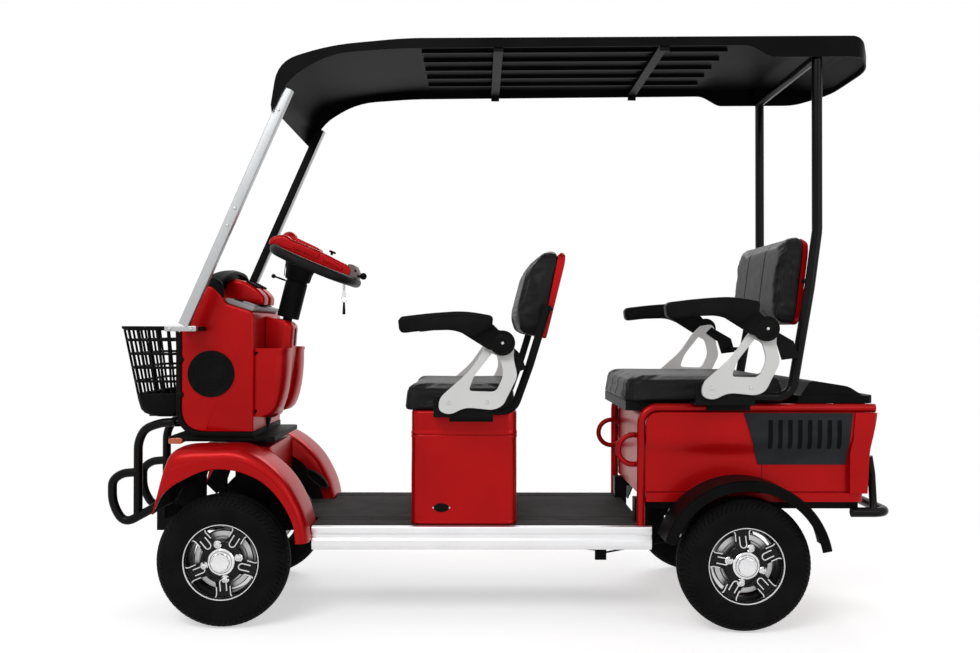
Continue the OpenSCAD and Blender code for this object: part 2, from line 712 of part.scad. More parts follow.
module roof_hoop() color(black) on_deck() {
    top = roof_h + roof_rise - 58;
    z = box_h + 58;
    both_sides() bent_tube([[wheelbase + 45, -hoop_y, z - 12], [wheelbase + 158, -hoop_y, z - 12],
        [wheelbase + 212, -hoop_y, 700], [hoop_x + 2, -hoop_y, 868], [hoop_x, -hoop_y, top]],
        hoop_d, 50);
    rod([hoop_x, -hoop_y, top], [hoop_x, hoop_y, top], hoop_d * 0.9);
    both_sides() {
        block(hoop_x - 20, hoop_x + 20, -hoop_y - 12, -hoop_y + 12, top + 8,
            roof_top(hoop_x) - skin_t - 1);
        // bolts that hold the rear backrest's shell between the posts
        translate([wheelbase + 203, 0, 720]) pin_y(7, -hoop_y, -cushion_w / 2 + 6 - seat_gap);
    }
}

// ---------- front seat ----------

seat_corner = 34;
seat_plan = eased([[0, -seat_box_w / 2, seat_corner], [seat_box_l, -seat_box_w / 2, seat_corner],
    [seat_box_l, seat_box_w / 2, seat_corner], [0, seat_box_w / 2, seat_corner]], 5);
seat_top = seat_box_h + seat_lid_h;

module seat_box() color(red) at_seat() {
    difference() {
        plan_plate(seat_plan, 0.1, seat_box_h);
        plan_plate(inset(seat_plan, skin_t), skin_t, seat_box_h + 1);
    }
    translate([90, -seat_box_w / 2, 50]) pin_y(16, -2, 2);
}

module seat_lid() color(red) at_seat() difference() {
    union() {
        plan_plate(seat_plan, seat_box_h + seat_gap, seat_top);
        plan_plate(inset(seat_plan, -2), seat_box_h + 6, seat_box_h + 12);
    }
    plan_plate(inset(seat_plan, skin_t), seat_box_h, seat_top - skin_t);
}

// Cushion with its outline in plan eased at the corners and its edges eased from the side
module cushion(x0, x1, z0, t, w, corner) intersection() {
    side_plate(eased([[x0, z0, 10], [x1, z0, 10], [x1, z0 + t, 14], [x0, z0 + t, 22]], 4),
        -w / 2, w / 2);
    plan_plate(eased([[x0, -w / 2, corner], [x1, -w / 2, 20], [x1, w / 2, 20],
        [x0, w / 2, corner]], 5), z0 - 1, z0 + t + 1);
    cross_bar(eased([[-w / 2, z0, 10], [w / 2, z0, 10], [w / 2, z0 + t, 20],
        [-w / 2, z0 + t, 20]], 4), x0 - 1, x1 + 1);
}

module front_cushion() color(leather) at_seat()
    cushion(-28, 314, seat_top + seat_gap, cushion_t, cushion_w, 40);

front_back = eased([[314, 560, 20], [348, 545, 18], [384, 552], [434, 796], [426, 818, 12],
    [396, 820, 24], [350, 766, 40], [312, 620, 30]], 4);

module front_backrest() color(leather) at_seat() intersection() {
    side_plate(front_back, -cushion_w / 2, cushion_w / 2);
    cross_bar(eased([[-cushion_w / 2, 544, 50], [cushion_w / 2, 544, 50],
        [cushion_w / 2, 822, 70], [-cushion_w / 2, 822, 70]], 6), 280, 470);
}

module front_back_shell() color(red) at_seat() intersection() {
    side_plate(eased([[384.4, 552], [398, 546, 8], [452, 766], [456, 796, 8], [446, 808, 8],
        [434.4, 796]], 4), -cushion_w / 2 + 6, cushion_w / 2 - 6);
    cross_bar(eased([[-cushion_w / 2, 540, 50], [cushion_w / 2, 540, 50],
        [cushion_w / 2, 812, 70], [-cushion_w / 2, 812, 70]], 6), 300, 500);
}

arm_pivot = [266, 536];
bracket_outline = eased([[244, 545], [216, 520, 20], [172, 454, 30], [86, 378, 20], [84, 340, 24],
    [118, 330, 20], [160, 352, 30], [240, 344, 20], [268, 356, 20], [310, 440, 16],
    [298, 492, 16], [300, 520], [288, 552, 16]], 5);
bracket_window = eased([[236, 506], [184, 440, 20], [170, 398, 12], [248, 396, 14],
    [272, 446, 24], [258, 496, 12]], 5);

module bracket() difference() {
    side_plate(bracket_outline, -bracket_y, -bracket_y + bracket_t);
    side_plate(bracket_window, -bracket_y - 1, -bracket_y + bracket_t + 1);
}

module arm_brackets() color(white) both_sides() {
    bracket();
    translate([arm_pivot[0], 0, arm_pivot[1]]) pin_y(pivot_d / 2, -pin_end_y, -bracket_y + 4);
}

module front_brackets() at_seat() arm_brackets();

// Angle irons under the bracket and the link that ties the pivot to the back tube
module angle_irons(z_low) {
    inner = seat_box_w / 2 + seat_gap;
    outer = bracket_y - bracket_t - seat_gap;
    block(113, 241, -inner - 4, -inner, z_low, z_low + 23);
    block(69, 241, -outer, -inner, z_low + 19, z_low + 23);
    block(69, 241, -outer, -outer + 4, z_low + 19, z_low + 80);
}

module front_seat_frame() color(black) at_seat() both_sides() {
    y = -cushion_w / 2 - 20;
    angle_irons(303);
    bent_tube([[200, y, 336], [300, y, 336], [348, y, 470], [401, y, 646]], 24, 44);
    side_plate([[262, 520], [282, 540], [322, 500], [334, 462], [312, 452], [296, 490]],
        -bracket_y + bracket_t + seat_gap, -bracket_y + bracket_t + seat_gap + 5);
    block(308, 332, -bracket_y + bracket_t + seat_gap, y + 4, 458, 470);
    // bolt through the back tube into the backrest's shell
    translate([409, 0, 634]) pin_y(6, y - 14, -cushion_w / 2 + 6 - seat_gap);
}

// Armrest on the left side: a broad pad, and a narrower arm that ends in the pivot disc
pad_outline = eased([[-28, 598], [-22, 560, 16], [40, 570, 20], [130, 573, 30], [178, 552, 16],
    [236, 580], [240, 614, 12], [160, 628, 60], [60, 620, 60], [-20, 610, 14]], 6);
arm_outline = eased([[120, 576], [190, 540, 20], [236, 512, 20], [284, 520, 14],
    [258, 572, 10], [237, 588]], 5);

module armrest() difference() {
    union() {
        side_plate(pad_outline, -pad_y0 - pad_w, -pad_y0);
        side_plate(arm_outline, -pad_y0 - 20, -pad_y0 - 1);
        translate([arm_pivot[0], 0, arm_pivot[1]])
            pin_y(pivot_disc_d / 2, -pad_y0 - 24, -pad_y0);
    }
    translate([arm_pivot[0], 0, arm_pivot[1]])
        pin_y(pivot_d / 2 + run_gap, -pin_end_y - 4, -pad_y0 + 2);
}

module armrest_front(side) color(black) at_seat() mirror([0, side, 0]) armrest();

// ---------- rear seat: the same brackets and armrests, further back and higher ----------

module at_rear_seat() translate([rear_seat_x, 0, deck_z + rear_seat_up]) children();
rear_seat_x = wheelbase - 205;
rear_seat_up = 43;

module rear_cushion() color(leather) at_rear()
    cushion(-332, 156, box_h + 29 + seat_gap, cushion_t - 2, cushion_w, 70);

module rear_backrest() color(leather) at_rear() intersection() {
    side_plate(eased([[122, 594, 14], [150, 582, 12], [178, 592], [208, 850, 10], [194, 866, 12],
        [158, 864, 24], [144, 800, 40], [126, 660, 30]], 4), -cushion_w / 2, cushion_w / 2);
    cross_bar(eased([[-cushion_w / 2, 582, 50], [cushion_w / 2, 582, 50],
        [cushion_w / 2, 866, 70], [-cushion_w / 2, 866, 70]], 6), 100, 300);
}

module rear_back_shell() color(red) at_rear() intersection() {
    side_plate(eased([[178.4, 592], [192, 590, 8], [222, 836, 10], [208.4, 850]], 4),
        -cushion_w / 2 + 6, cushion_w / 2 - 6);
    cross_bar(eased([[-cushion_w / 2 + 6, 588, 50], [cushion_w / 2 - 6, 588, 50],
        [cushion_w / 2 - 6, 856, 70], [-cushion_w / 2 + 6, 856, 70]], 6), 100, 300);
}

module rear_seat_frame() color(black) {
    at_rear_seat() both_sides() {
        inner = box_w / 2 + seat_gap;
        outer = bracket_y - bracket_t - seat_gap;
        block(113, 241, -inner - 4, -inner, 296, 319);
        block(69, 241, -outer, -cushion_w / 2 + 29, 315.8, 319);
        block(69, 241, -outer, -outer + 4, 315.8, 384);
        side_plate([[262, 520], [282, 540], [352, 500], [366, 452], [318, 446], [304, 490]],
            -bracket_y + bracket_t + seat_gap, -bracket_y + bracket_t + seat_gap + 5);
        block(340, 364, -bracket_y + bracket_t + seat_gap, -hoop_y, 458, 470);
    }
    at_rear() block(-320, 150, -cushion_w / 2 + 30, cushion_w / 2 - 30, box_h + seat_gap,
        box_h + 29);
}

module rear_brackets() at_rear_seat() arm_brackets();
module armrest_rear(side) color(black) at_rear_seat() mirror([0, side, 0]) armrest();

// ---------- rear box ----------

box_side = eased([[-268, box_low + 26], [372, box_low + 26], [380, 220, 20], [406, box_h],
    [-268, box_h, 40]], 5);
box_section = eased([[-box_w / 2, box_h], [-box_w / 2, 252, 14], [-box_w / 2 + step_d, 208, 14],
    [-box_w / 2 + step_d, box_low], [box_w / 2 - step_d, box_low],
    [box_w / 2 - step_d, 208, 14], [box_w / 2, 252, 14], [box_w / 2, box_h]], 4);

module rear_box() color(red) at_rear() {
    difference() {
        intersection() {
            side_plate(box_side, -box_w / 2, box_w / 2);
            cross_bar(box_section, -300, 420);
        }
        intersection() {
            side_plate(inset(box_side, skin_t), -box_w / 2, box_w / 2);
            cross_bar(inset(box_section, skin_t), -300, 420);
        }
        block(190, 386, -box_w / 2 + 24, box_w / 2 - 24, box_h - 20, box_h + 2);
    }
    plan_plate(eased([[-267, -box_w / 2 + 4], [378, -box_w / 2 + 4, 30],
        [378, box_w / 2 - 4, 30], [-267, box_w / 2 - 4]], 4), box_low, box_low + 25.7);
}

module box_frame() color(red) at_rear() {
    y = -box_w / 2 + frame_tube_d / 2 + 2;
    x = -268 - frame_tube_d / 2 - seat_gap;
    top = box_h + frame_tube_d / 2 + seat_gap;
    both_sides() bent_tube([[x, y, seat_gap], [x, y, top], [410, y, top]], frame_tube_d, 48);
    rod([396, y, top], [396, -y, top], frame_tube_d * 0.8);
}

module louvres() color(grey) at_rear() both_sides() difference() {
    intersection() {
        side_plate([[64, 179], [323, 179], [331, 253], [340, box_h - 1], [19, box_h - 1],
            [43, 252]], -box_w / 2 - 10, 0);
        cross_bar(inset(box_section, -4), 0, 400);
    }
    cross_bar(inset(box_section, -seat_gap), -10, 410);
    for (k = [0 : slot_count - 1]) side_plate(eased([[90 + 29 * k, 226, 6], [103 + 29 * k, 226, 6],
        [103 + 29 * k, 311], [90 + 29 * k, 311]], 3), -box_w, 0);
}

module rear_corners() color(red) at_rear() both_sides() difference() {
    intersection() {
        side_plate(eased([[330, box_low + 26], [382, box_low + 26], [388, 220, 20],
            [416, box_h - 1], [346, box_h - 1], [340, 250, 10], [330, 216, 10]], 4),
            -box_w / 2 - 5, -box_w / 2 + 44);
        plan_plate(eased([[300, -box_w / 2 - 5], [420, -box_w / 2 - 5, 40],
            [420, -box_w / 2 + 60], [300, -box_w / 2 + 60]], 6), 0, box_h);
    }
    intersection() {
        side_plate(inset(box_side, -seat_gap), -box_w / 2 - 1, 0);
        cross_bar(inset(box_section, -seat_gap), -300, 420);
    }
}

module rear_lid() color(black) at_rear() {
    y = box_w / 2 - 16;
    z = box_h + frame_tube_d + 2 * seat_gap;
    difference() {
        union() {
            plan_plate(eased([[180, -y, 12], [414, -y, 40], [414, y, 40], [180, y, 12]], 5), z, z + 24);
            side_plate(eased([[192, z + 20], [224, z + 68, 14], [338, z + 50, 14], [382, z + 22]], 5),
                -y + 8, y - 8);
        }
        block(200, 370, -y + 30, y - 30, z - 1, z + 20);
    }
}

module rear_fender() translate([wheelbase, 0, axle_z]) rotate([90, 0, 0]) rotate([0, 0, 11])
    rotate_extrude(angle = 152, $fn = 96) fender_section();

fender_r = tyre_d / 2 + fender_gap;
fender_y = box_w / 2 - 4 + seat_gap;
module fender_section() polygon([[fender_r, fender_y], [fender_r + skin_t, fender_y],
    [fender_r + skin_t, box_w / 2 + fender_reach - 8], [fender_r, box_w / 2 + fender_reach],
    [fender_r - 26, box_w / 2 + fender_reach], [fender_r - 26, box_w / 2 + fender_reach - skin_t],
    [fender_r - 6, box_w / 2 + fender_reach - skin_t], [fender_r, box_w / 2 + fender_reach - 10]]);

module rear_fenders() color(black) both_sides() rear_fender();

module rear_bumper() color(black) {
    y = -240;
    out = rear_reach - 14.5;
    translate([wheelbase, 0, deck_z]) {
        bent_tube([[352, y, 33], [out, y, 33], [out, -y, 33], [352, -y, 33]], 29, 40);
        both_sides() bent_tube([[out - 44, y, 36], [412, y, 150], [404, y, 200]], 22, 30);
    }
}

module assist_rings() color(red) at_rear() both_sides()
    difference() {
        translate([-298, -227, 217]) rotate([90, 0, 0])
            rotate_extrude() translate([ring_d / 2 - 8, 0]) circle(d = 16);
        block(-268 - seat_gap, -200, -300, -200, 100, 300);
    }

// ---------- steering ----------

loop_tilt = 23.7;
head_at = [212, 0, 780];
head_w = 124;
head_outline = eased([[72, 842], [100, 822, 20], [300, 722, 10], [336, 722, 10], [352, 748, 10],
    [342, 778, 10], [216, 828], [145, 861], [98, 876, 20], [66, 852, 10]], 4);
head_slope = atan2(828 - 778, 342 - 216);
cover_l = 126;
dome_d = 54;
collar_l = 62;

// Shaft, cover and flared collar, trimmed to the underside of the head
module steering_column() color(black) difference() {
    along_column(column_h) {
        cylinder(d = column_d, h = cover_l + 1);
        translate([0, 0, cover_l]) cylinder(d1 = column_d + 8, d2 = column_d + 34, h = collar_l);
        translate([0, 0, -380]) cylinder(d = shaft_d, h = 390);
    }
    on_deck() side_plate(concat([[0, 870]], [for (p = head_outline) if (p[0] < 310 && p[1] < 843
        && p[1] < 872 - p[0] / 2 + 20) p + [0, -seat_gap]], [[400, 720], [400, 1000], [0, 1000]]),
        -head_w, head_w);
}

// Bars of the loop that cross the head in its two channels
module loop_bars(d) translate(head_at) rotate([0, loop_tilt, 0])
    for (x = [-1, 1]) translate([x * (loop_l - loop_d) / 2, 0, 0]) pin_y(d / 2, -head_w, head_w);

module steering_head() color(red) on_deck() difference() {
    union() {
        side_plate(head_outline, -head_w / 2, head_w / 2);
        // domed cover on the right side of the crown
        translate([118, 34, 864]) sphere(d = dome_d);
    }
    loop_bars(loop_d + 2 * seat_gap);
    // slot of the drive lever
    block(340, 360, -36, -24, 730, 754);
}

module loop_handle() color(black) on_deck() {
    a = (loop_l - loop_d) / 2;
    b = (loop_w - loop_d) / 2;
    translate(head_at) rotate([0, loop_tilt, 0])
        bent_tube([[-a, -b, 0], [a, -b, 0], [a, b, 0], [-a, b, 0]], loop_d, 88, closed = true);
}

module signal_lever() color(black) along_column(column_h + 112) rotate([0, 0, 200]) {
    rod([column_d / 2 + 0.9, 0, 0], [74, 0, 4], 6);
    translate([76, 0, 4]) sphere(d = 14);
}

module drive_lever() color(black) on_deck() {
    rod([346, -30, 742], [366, -30, 742], 8);
    translate([366, -30, 742]) sphere(d = 22);
    translate([347, 0, 742]) pin_y(2, -36 + seat_gap, -24 - seat_gap);
}

module speed_dial() color(black) on_deck()
    translate([262, -20, 828 - (262 - 216) * tan(head_slope)]) rotate([0, head_slope, 0])
        translate([0, 0, seat_gap]) cylinder(d = 22, h = 14);

module key() color(silver) on_deck() translate([306, -40, 722 - seat_gap]) {
    translate([0, 0, -24]) cylinder(d = 8, h = 24);
    block(-1.5, 1.5, -7, 7, -72, -20);
}

// ---------- front knuckles ----------

module knuckle(side) mirror([0, side, 0]) color(steel) difference() {
    union() {
        translate([0, -kingpin_y, axle_z]) {
            translate([0, 0, -ear_z + seat_gap]) cylinder(d = 36, h = 2 * ear_z - 2 * seat_gap);
            block(0, steer_arm, -9, 9, -ear_z + 4, -ear_z + 14);
            translate([steer_arm, 0, -ear_z + 4]) cylinder(d = 24, h = 10);
            translate([steer_arm, 0, -ear_z + 4]) cylinder(d = 10, h = 30);
        }
        translate([0, 0, axle_z]) {
            pin_y(stub_d / 2, -axle_y_front - 18, -kingpin_y);
            pin_y(20, -axle_y_front + 24, -kingpin_y);
            pin_y(70, -axle_y_front + 24, -axle_y_front + 34);
        }
    }
    translate([0, -kingpin_y, axle_z - 60]) cylinder(r = kingpin_d / 2 + run_gap, h = 120);
}

module tie_rod() color(steel) translate([steer_arm, 0, axle_z - ear_z + 14 + seat_gap]) difference() {
    union() {
        translate([0, 0, 6]) pin_y(5, -kingpin_y + 8, kingpin_y - 8);
        for (y = [-kingpin_y, kingpin_y]) translate([0, y, 0]) cylinder(d = 22, h = 12);
    }
    translate([0, -kingpin_y, -1]) cylinder(r = 5 + run_gap, h = 20);
    translate([0, kingpin_y, -1]) cylinder(r = 6, h = 20);
}

// ---------- what is drawn ----------

place() {
    chassis_frame();
    rear_axle();
    floor_mat();
    side_rails();
    front_body();
    cowl();
    cowl_edging();
    speakers();
    dash_bezel();
    pockets();
    hood();
    basket();
    front_bumper();
    pillars();
    roof_shell();
    roof_panel();
    roof_straps();
    roof_hoop();
    seat_box();
    rear_box();
    box_frame();
    louvres();
    rear_corners();
    rear_fenders();
    rear_bumper();
    assist_rings();
    rear_cushion();
    rear_backrest();
    rear_back_shell();
    rear_seat_frame();
    rear_brackets();
    rear_lid();
    seat_lid();
    front_cushion();
    front_backrest();
    front_back_shell();
    front_seat_frame();
    front_brackets();
    armrest_front(0);  // armrest_front_left
    armrest_front(1);  // armrest_front_right
    armrest_rear(0);  // armrest_rear_left
    armrest_rear(1);  // armrest_rear_right
    steering_column();
    steering_head();
    loop_handle();
    signal_lever();
    drive_lever();
    speed_dial();
    key();
    knuckle(0);  // knuckle_left
    knuckle(1);  // knuckle_right
    tie_rod();
    wheel_place(0, -axle_y_front) tyre();  // tyre_front_left
    wheel_place(0, axle_y_front) tyre();  // tyre_front_right
    wheel_place(wheelbase, -axle_y_rear) tyre();  // tyre_rear_left
    wheel_place(wheelbase, axle_y_rear) tyre();  // tyre_rear_right
    wheel_place(0, -axle_y_front) rim();  // rim_front_left
    wheel_place(0, axle_y_front) rim();  // rim_front_right
    wheel_place(wheelbase, -axle_y_rear) rim();  // rim_rear_left
    wheel_place(wheelbase, axle_y_rear) rim();  // rim_rear_right
}
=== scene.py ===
# %% [markdown]
# A mobility scooter with two seat rows, in Blender.
#
# The solid model of the scooter comes in ready made, as a frame of named pieces that hang on
# moving bodies. Here each of those pieces gets its looks: soft shapes, edges, textures and finishes
# that the solid model leaves plain. Lengths are in metres, +X points to the rear, +Z up, and the
# scooter's left side, which the camera sees, is at -Y.

# %% Load the frame
import math

import bpy
import numpy as np
from mathutils import Matrix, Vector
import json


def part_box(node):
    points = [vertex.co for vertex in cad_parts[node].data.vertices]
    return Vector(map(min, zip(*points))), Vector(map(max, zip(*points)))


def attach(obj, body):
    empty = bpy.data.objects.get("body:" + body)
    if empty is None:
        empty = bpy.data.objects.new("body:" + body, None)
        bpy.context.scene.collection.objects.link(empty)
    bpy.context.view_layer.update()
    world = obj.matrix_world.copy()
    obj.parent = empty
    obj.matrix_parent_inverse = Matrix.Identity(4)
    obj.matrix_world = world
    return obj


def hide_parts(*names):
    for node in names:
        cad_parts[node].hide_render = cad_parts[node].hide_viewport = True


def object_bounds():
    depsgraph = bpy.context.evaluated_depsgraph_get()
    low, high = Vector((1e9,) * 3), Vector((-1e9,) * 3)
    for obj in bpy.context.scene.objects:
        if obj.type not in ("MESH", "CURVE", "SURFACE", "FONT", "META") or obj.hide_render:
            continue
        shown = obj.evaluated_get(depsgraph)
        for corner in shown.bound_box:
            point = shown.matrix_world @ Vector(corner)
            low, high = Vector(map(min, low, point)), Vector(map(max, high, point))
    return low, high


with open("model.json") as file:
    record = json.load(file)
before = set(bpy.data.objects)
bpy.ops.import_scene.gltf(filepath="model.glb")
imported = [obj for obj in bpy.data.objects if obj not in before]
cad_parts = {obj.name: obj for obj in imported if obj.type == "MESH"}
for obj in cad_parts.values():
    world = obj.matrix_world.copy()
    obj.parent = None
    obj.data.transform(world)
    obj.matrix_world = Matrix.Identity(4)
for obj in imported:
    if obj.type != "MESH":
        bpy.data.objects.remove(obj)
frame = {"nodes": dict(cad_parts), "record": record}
cad_low, cad_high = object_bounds()
nodes = frame["nodes"]
body_of = {n: b for b, ns in frame["record"]["behaviour"]["bodies"].items() for n in ns}
MM = 0.001
FRONT_AXLE = -784.5 * MM
print("box of the solid model:", cad_low[:], cad_high[:])

# %% [markdown]
# The camera stands at the height of the seats, a little nearer the front wheel than the middle,
# and looks almost square at the scooter's left side. A short lens this close shows the inner faces
# of the roof and the far wheels, so its distance matters as much as its direction.

# %% Camera
def aim(yaw, pitch, roll):
    """Rows right, up and forward: forward leaves +Y by yaw about Z, then pitch lifts it about the
    right axis, and roll turns right and up about forward."""
    fwd = np.array([math.sin(yaw), math.cos(yaw), 0.0])
    right = np.array([math.cos(yaw), -math.sin(yaw), 0.0])
    up = np.array([0.0, 0.0, 1.0])
    fwd, up = (math.cos(pitch) * fwd + math.sin(pitch) * up,
               -math.sin(pitch) * fwd + math.cos(pitch) * up)
    right, up = (math.cos(roll) * right + math.sin(roll) * up,
                 -math.sin(roll) * right + math.cos(roll) * up)
    return right, up, fwd


right, up, fwd = aim(0.012, 0.0018, 0.003)
camera_data = bpy.data.cameras.new("side_camera")
camera_data.sensor_width = 36.0
camera_data.lens = 33.87
camera_data.clip_end = 60.0
camera = bpy.data.objects.new("side_camera", camera_data)
turn = Matrix([list(r) for r in np.array([right, up, -fwd]).T]).to_4x4()
camera.matrix_world = Matrix.Translation((-49.5 * MM, -2975 * MM, 863 * MM)) @ turn
bpy.context.scene.collection.objects.link(camera)
bpy.context.scene.camera = camera
print("camera stands at", tuple(round(v, 3) for v in camera.location))

# %% [markdown]
# Shader maths reads best as plain arithmetic. A small class wraps one output socket, and its
# operators add Math nodes, so a mask can be written as 1 - mask * 0.5. A second class holds one
# material: its add method makes any other node, from its type, its settings and its inputs.

# %% Sockets with arithmetic
class Wire:
    """One output socket of a shader tree; + - * / and ** add the Math node that they name."""

    def __init__(self, socket):
        self.socket = socket

    def math(self, operation, *others, clamp=False):
        """The Math node of that operation on this value and the others."""
        node = self.socket.id_data.nodes.new("ShaderNodeMath")
        node.operation = operation
        node.use_clamp = clamp
        for slot, value in zip(node.inputs, (self,) + others):
            plug(slot, value)
        return Wire(node.outputs[0])

    def __add__(self, other): return self.math("ADD", other)
    def __radd__(self, other): return self.math("ADD", other)
    def __sub__(self, other): return self.math("SUBTRACT", other)
    def __rsub__(self, other): return (self * -1.0).math("ADD", other)
    def __mul__(self, other): return self.math("MULTIPLY", other)
    def __rmul__(self, other): return self.math("MULTIPLY", other)
    def __truediv__(self, other): return self.math("DIVIDE", other)
    def __rtruediv__(self, other): return (self ** -1.0).math("MULTIPLY", other)
    def __pow__(self, other): return self.math("POWER", other)

    def band(self, low, high, to_low=0.0, to_high=1.0):
        """Smooth step of this value: to_low below low, to_high above high."""
        node = self.socket.id_data.nodes.new("ShaderNodeMapRange")
        node.interpolation_type = "SMOOTHSTEP"
        for key, value in zip(("Value", "From Min", "From Max", "To Min", "To Max"),
                              (self, low, high, to_low, to_high)):
            plug(node.inputs[key], value)
        return Wire(node.outputs[0])


def plug(slot, value):
    """Links a Wire to an input, or sets a plain value on it."""
    if isinstance(value, Wire):
        slot.id_data.links.new(value.socket, slot)
    else:
        slot.default_value = value


class Finish:
    """One material around a Principled BSDF; constants are set on its own sockets."""

    def __init__(self, name, **constants):
        self.material = bpy.data.materials.new(name)
        self.material.use_nodes = True
        self.tree = self.material.node_tree
        self.shader = self.tree.nodes["Principled BSDF"]
        self.spot = self.add("ShaderNodeTexCoord", out="Object")
        for key, value in constants.items():
            self.feed(key.replace("_", " "), value)

    def add(self, kind, settings=None, inputs=None, out=0):
        """Any node: settings are its attributes, or a ramp's stops; inputs are values or Wires."""
        node = self.tree.nodes.new(kind)
        for key, value in (settings or {}).items():
            if key == "stops":
                for k, (at, colour) in enumerate(value):
                    ramp = node.color_ramp.elements
                    stop = ramp[k] if k < len(ramp) else ramp.new(at)
                    stop.position, stop.color = at, tuple(colour) + (1.0,)
            else:
                setattr(node, key, value)
        for key, value in (inputs or {}).items():
            plug(node.inputs[key], value)
        return Wire(node.outputs[out])

    def feed(self, key, value):
        """Gives a Principled socket its value or link; colours may have three numbers."""
        if isinstance(value, (tuple, list)) and len(value) == 3:
            value = tuple(value) + (1.0,)
        plug(self.shader.inputs[key], value)

    def place(self, scale=(1, 1, 1), turn=(0, 0, 0), start=None):
        """Object coordinates, or another vector, after a Mapping node."""
        return self.add("ShaderNodeMapping", inputs={
            "Vector": start or self.spot, "Scale": scale, "Rotation": turn})

    def noise(self, scale, detail=3.0, rough=0.5, at=None):
        """Value of a noise texture; scale is in waves a metre."""
        return self.add("ShaderNodeTexNoise", inputs={
            "Vector": at or self.spot, "Scale": scale, "Detail": detail, "Roughness": rough})

    def cells(self, scale, feature="F1", at=None):
        """Distance of a Voronoi texture; scale is in cells a metre."""
        return self.add("ShaderNodeTexVoronoi", {"feature": feature}, {
            "Vector": at or self.spot, "Scale": scale}, out="Distance")

    def blend(self, factor, a, b):
        """Colour mix of a and b."""
        node = self.tree.nodes.new("ShaderNodeMix")
        node.data_type = "RGBA"
        for slot, value in ((0, factor), (6, a), (7, b)):
            if isinstance(value, (tuple, list)) and len(value) == 3:
                value = tuple(value) + (1.0,)
            plug(node.inputs[slot], value)
        return Wire(node.outputs[2])

    def bump(self, *layers):
        """Chain of Bump nodes into Normal; each layer is (height, depth in metres)."""
        normal = None
        for height, depth in layers:
            inputs = {"Height": height, "Distance": depth, "Strength": 1.0}
            if normal:
                inputs["Normal"] = normal
            normal = self.add("ShaderNodeBump", inputs=inputs)
        self.feed("Normal", normal)
        return self


print("operators ready:", [k for k in vars(Wire) if k.startswith("__r")])

# %% [markdown]
# The body panels are a moulded plastic under a candy red lacquer. The colour sits in a slightly
# metallic layer whose tiny flakes vary it, and a clear coat gives the wet shine. A very low, broad
# bump is the orange peel that makes long highlights waver.

# %% Red lacquer and glossy blacks
def lacquer(name, colour, deep, metal, rough, coat, shine=0.12):
    """Painted finish: colour turns to deep over broad noise, with a fine flake in its roughness."""
    f = Finish(name, Metallic=metal, Coat_Weight=coat, Coat_Roughness=0.06, IOR=1.5,
               Specular_IOR_Level=shine)
    broad = f.noise(6.0, 2.0)
    flake = f.noise(1800.0, 1.0)
    f.feed("Base Color", f.blend(broad.band(0.3, 0.7), colour, deep))
    f.feed("Roughness", rough + 0.06 * flake)
    f.bump((f.noise(220.0, 1.0), 0.00004))
    return f.material


red = lacquer("red_lacquer", (0.50, 0.002, 0.003), (0.43, 0.001, 0.002), 0.35, 0.32, 0.08)
red_tube = lacquer("red_tube_paint", (0.46, 0.002, 0.003), (0.38, 0.001, 0.002), 0.3, 0.30, 0.08)
gloss_black = lacquer("black_enamel", (0.003, 0.003, 0.003), (0.005, 0.005, 0.005), 0.0, 0.24,
                      0.10, 0.06)
shell_black = lacquer("black_shell_gloss", (0.003, 0.003, 0.003), (0.006, 0.006, 0.006), 0.0,
                      0.42, 0.0, 0.035)
white = lacquer("white_enamel", (0.88, 0.88, 0.87), (0.83, 0.83, 0.82), 0.0, 0.30, 0.4)
print("lacquers:", red.name, gloss_black.name, shell_black.name, white.name)

# %% [markdown]
# Moulded plastics, rubber and leather differ mostly in their grain. Plastic has a fine etched
# stipple, rubber a dull broken surface with a little dust in it, and leather a net of pebbles with
# creases between them. All three are bumps of Voronoi and noise patterns at their real scale.

# %% Plastics, rubbers and leather
def stipple(name, colour, light, rough, grain=1500.0, depth=0.00006):
    """Etched plastic or rubber: cells of that many a metre, and a cloudy roughness."""
    f = Finish(name, Specular_IOR_Level=0.05)
    cloud = f.noise(14.0, 4.0)
    f.feed("Base Color", f.blend(cloud.band(0.35, 0.7), colour, light))
    f.feed("Roughness", rough + 0.14 * cloud)
    f.bump((f.cells(grain), depth), (f.noise(90.0, 3.0), 0.00012))
    return f.material


def hide(name, colour, light):
    """Leather: pebbles from the distance to Voronoi edges, bent by noise, with soft creases."""
    f = Finish(name, Specular_IOR_Level=0.14)
    bent = f.add("ShaderNodeVectorMath", {"operation": "MULTIPLY_ADD"}, {
        0: f.add("ShaderNodeTexNoise", inputs={"Vector": f.spot, "Scale": 60.0}, out="Color"),
        1: (0.004, 0.004, 0.004), 2: f.spot})
    pebble = f.cells(420.0, "DISTANCE_TO_EDGE", bent).band(0.0, 0.10)
    crease = f.noise(26.0, 5.0, 0.6)
    f.feed("Base Color", f.blend(pebble, colour, light))
    f.feed("Roughness", 0.40 + 0.16 * crease - 0.08 * pebble)
    f.bump((crease, 0.0012), (pebble, 0.00022))
    return f.material


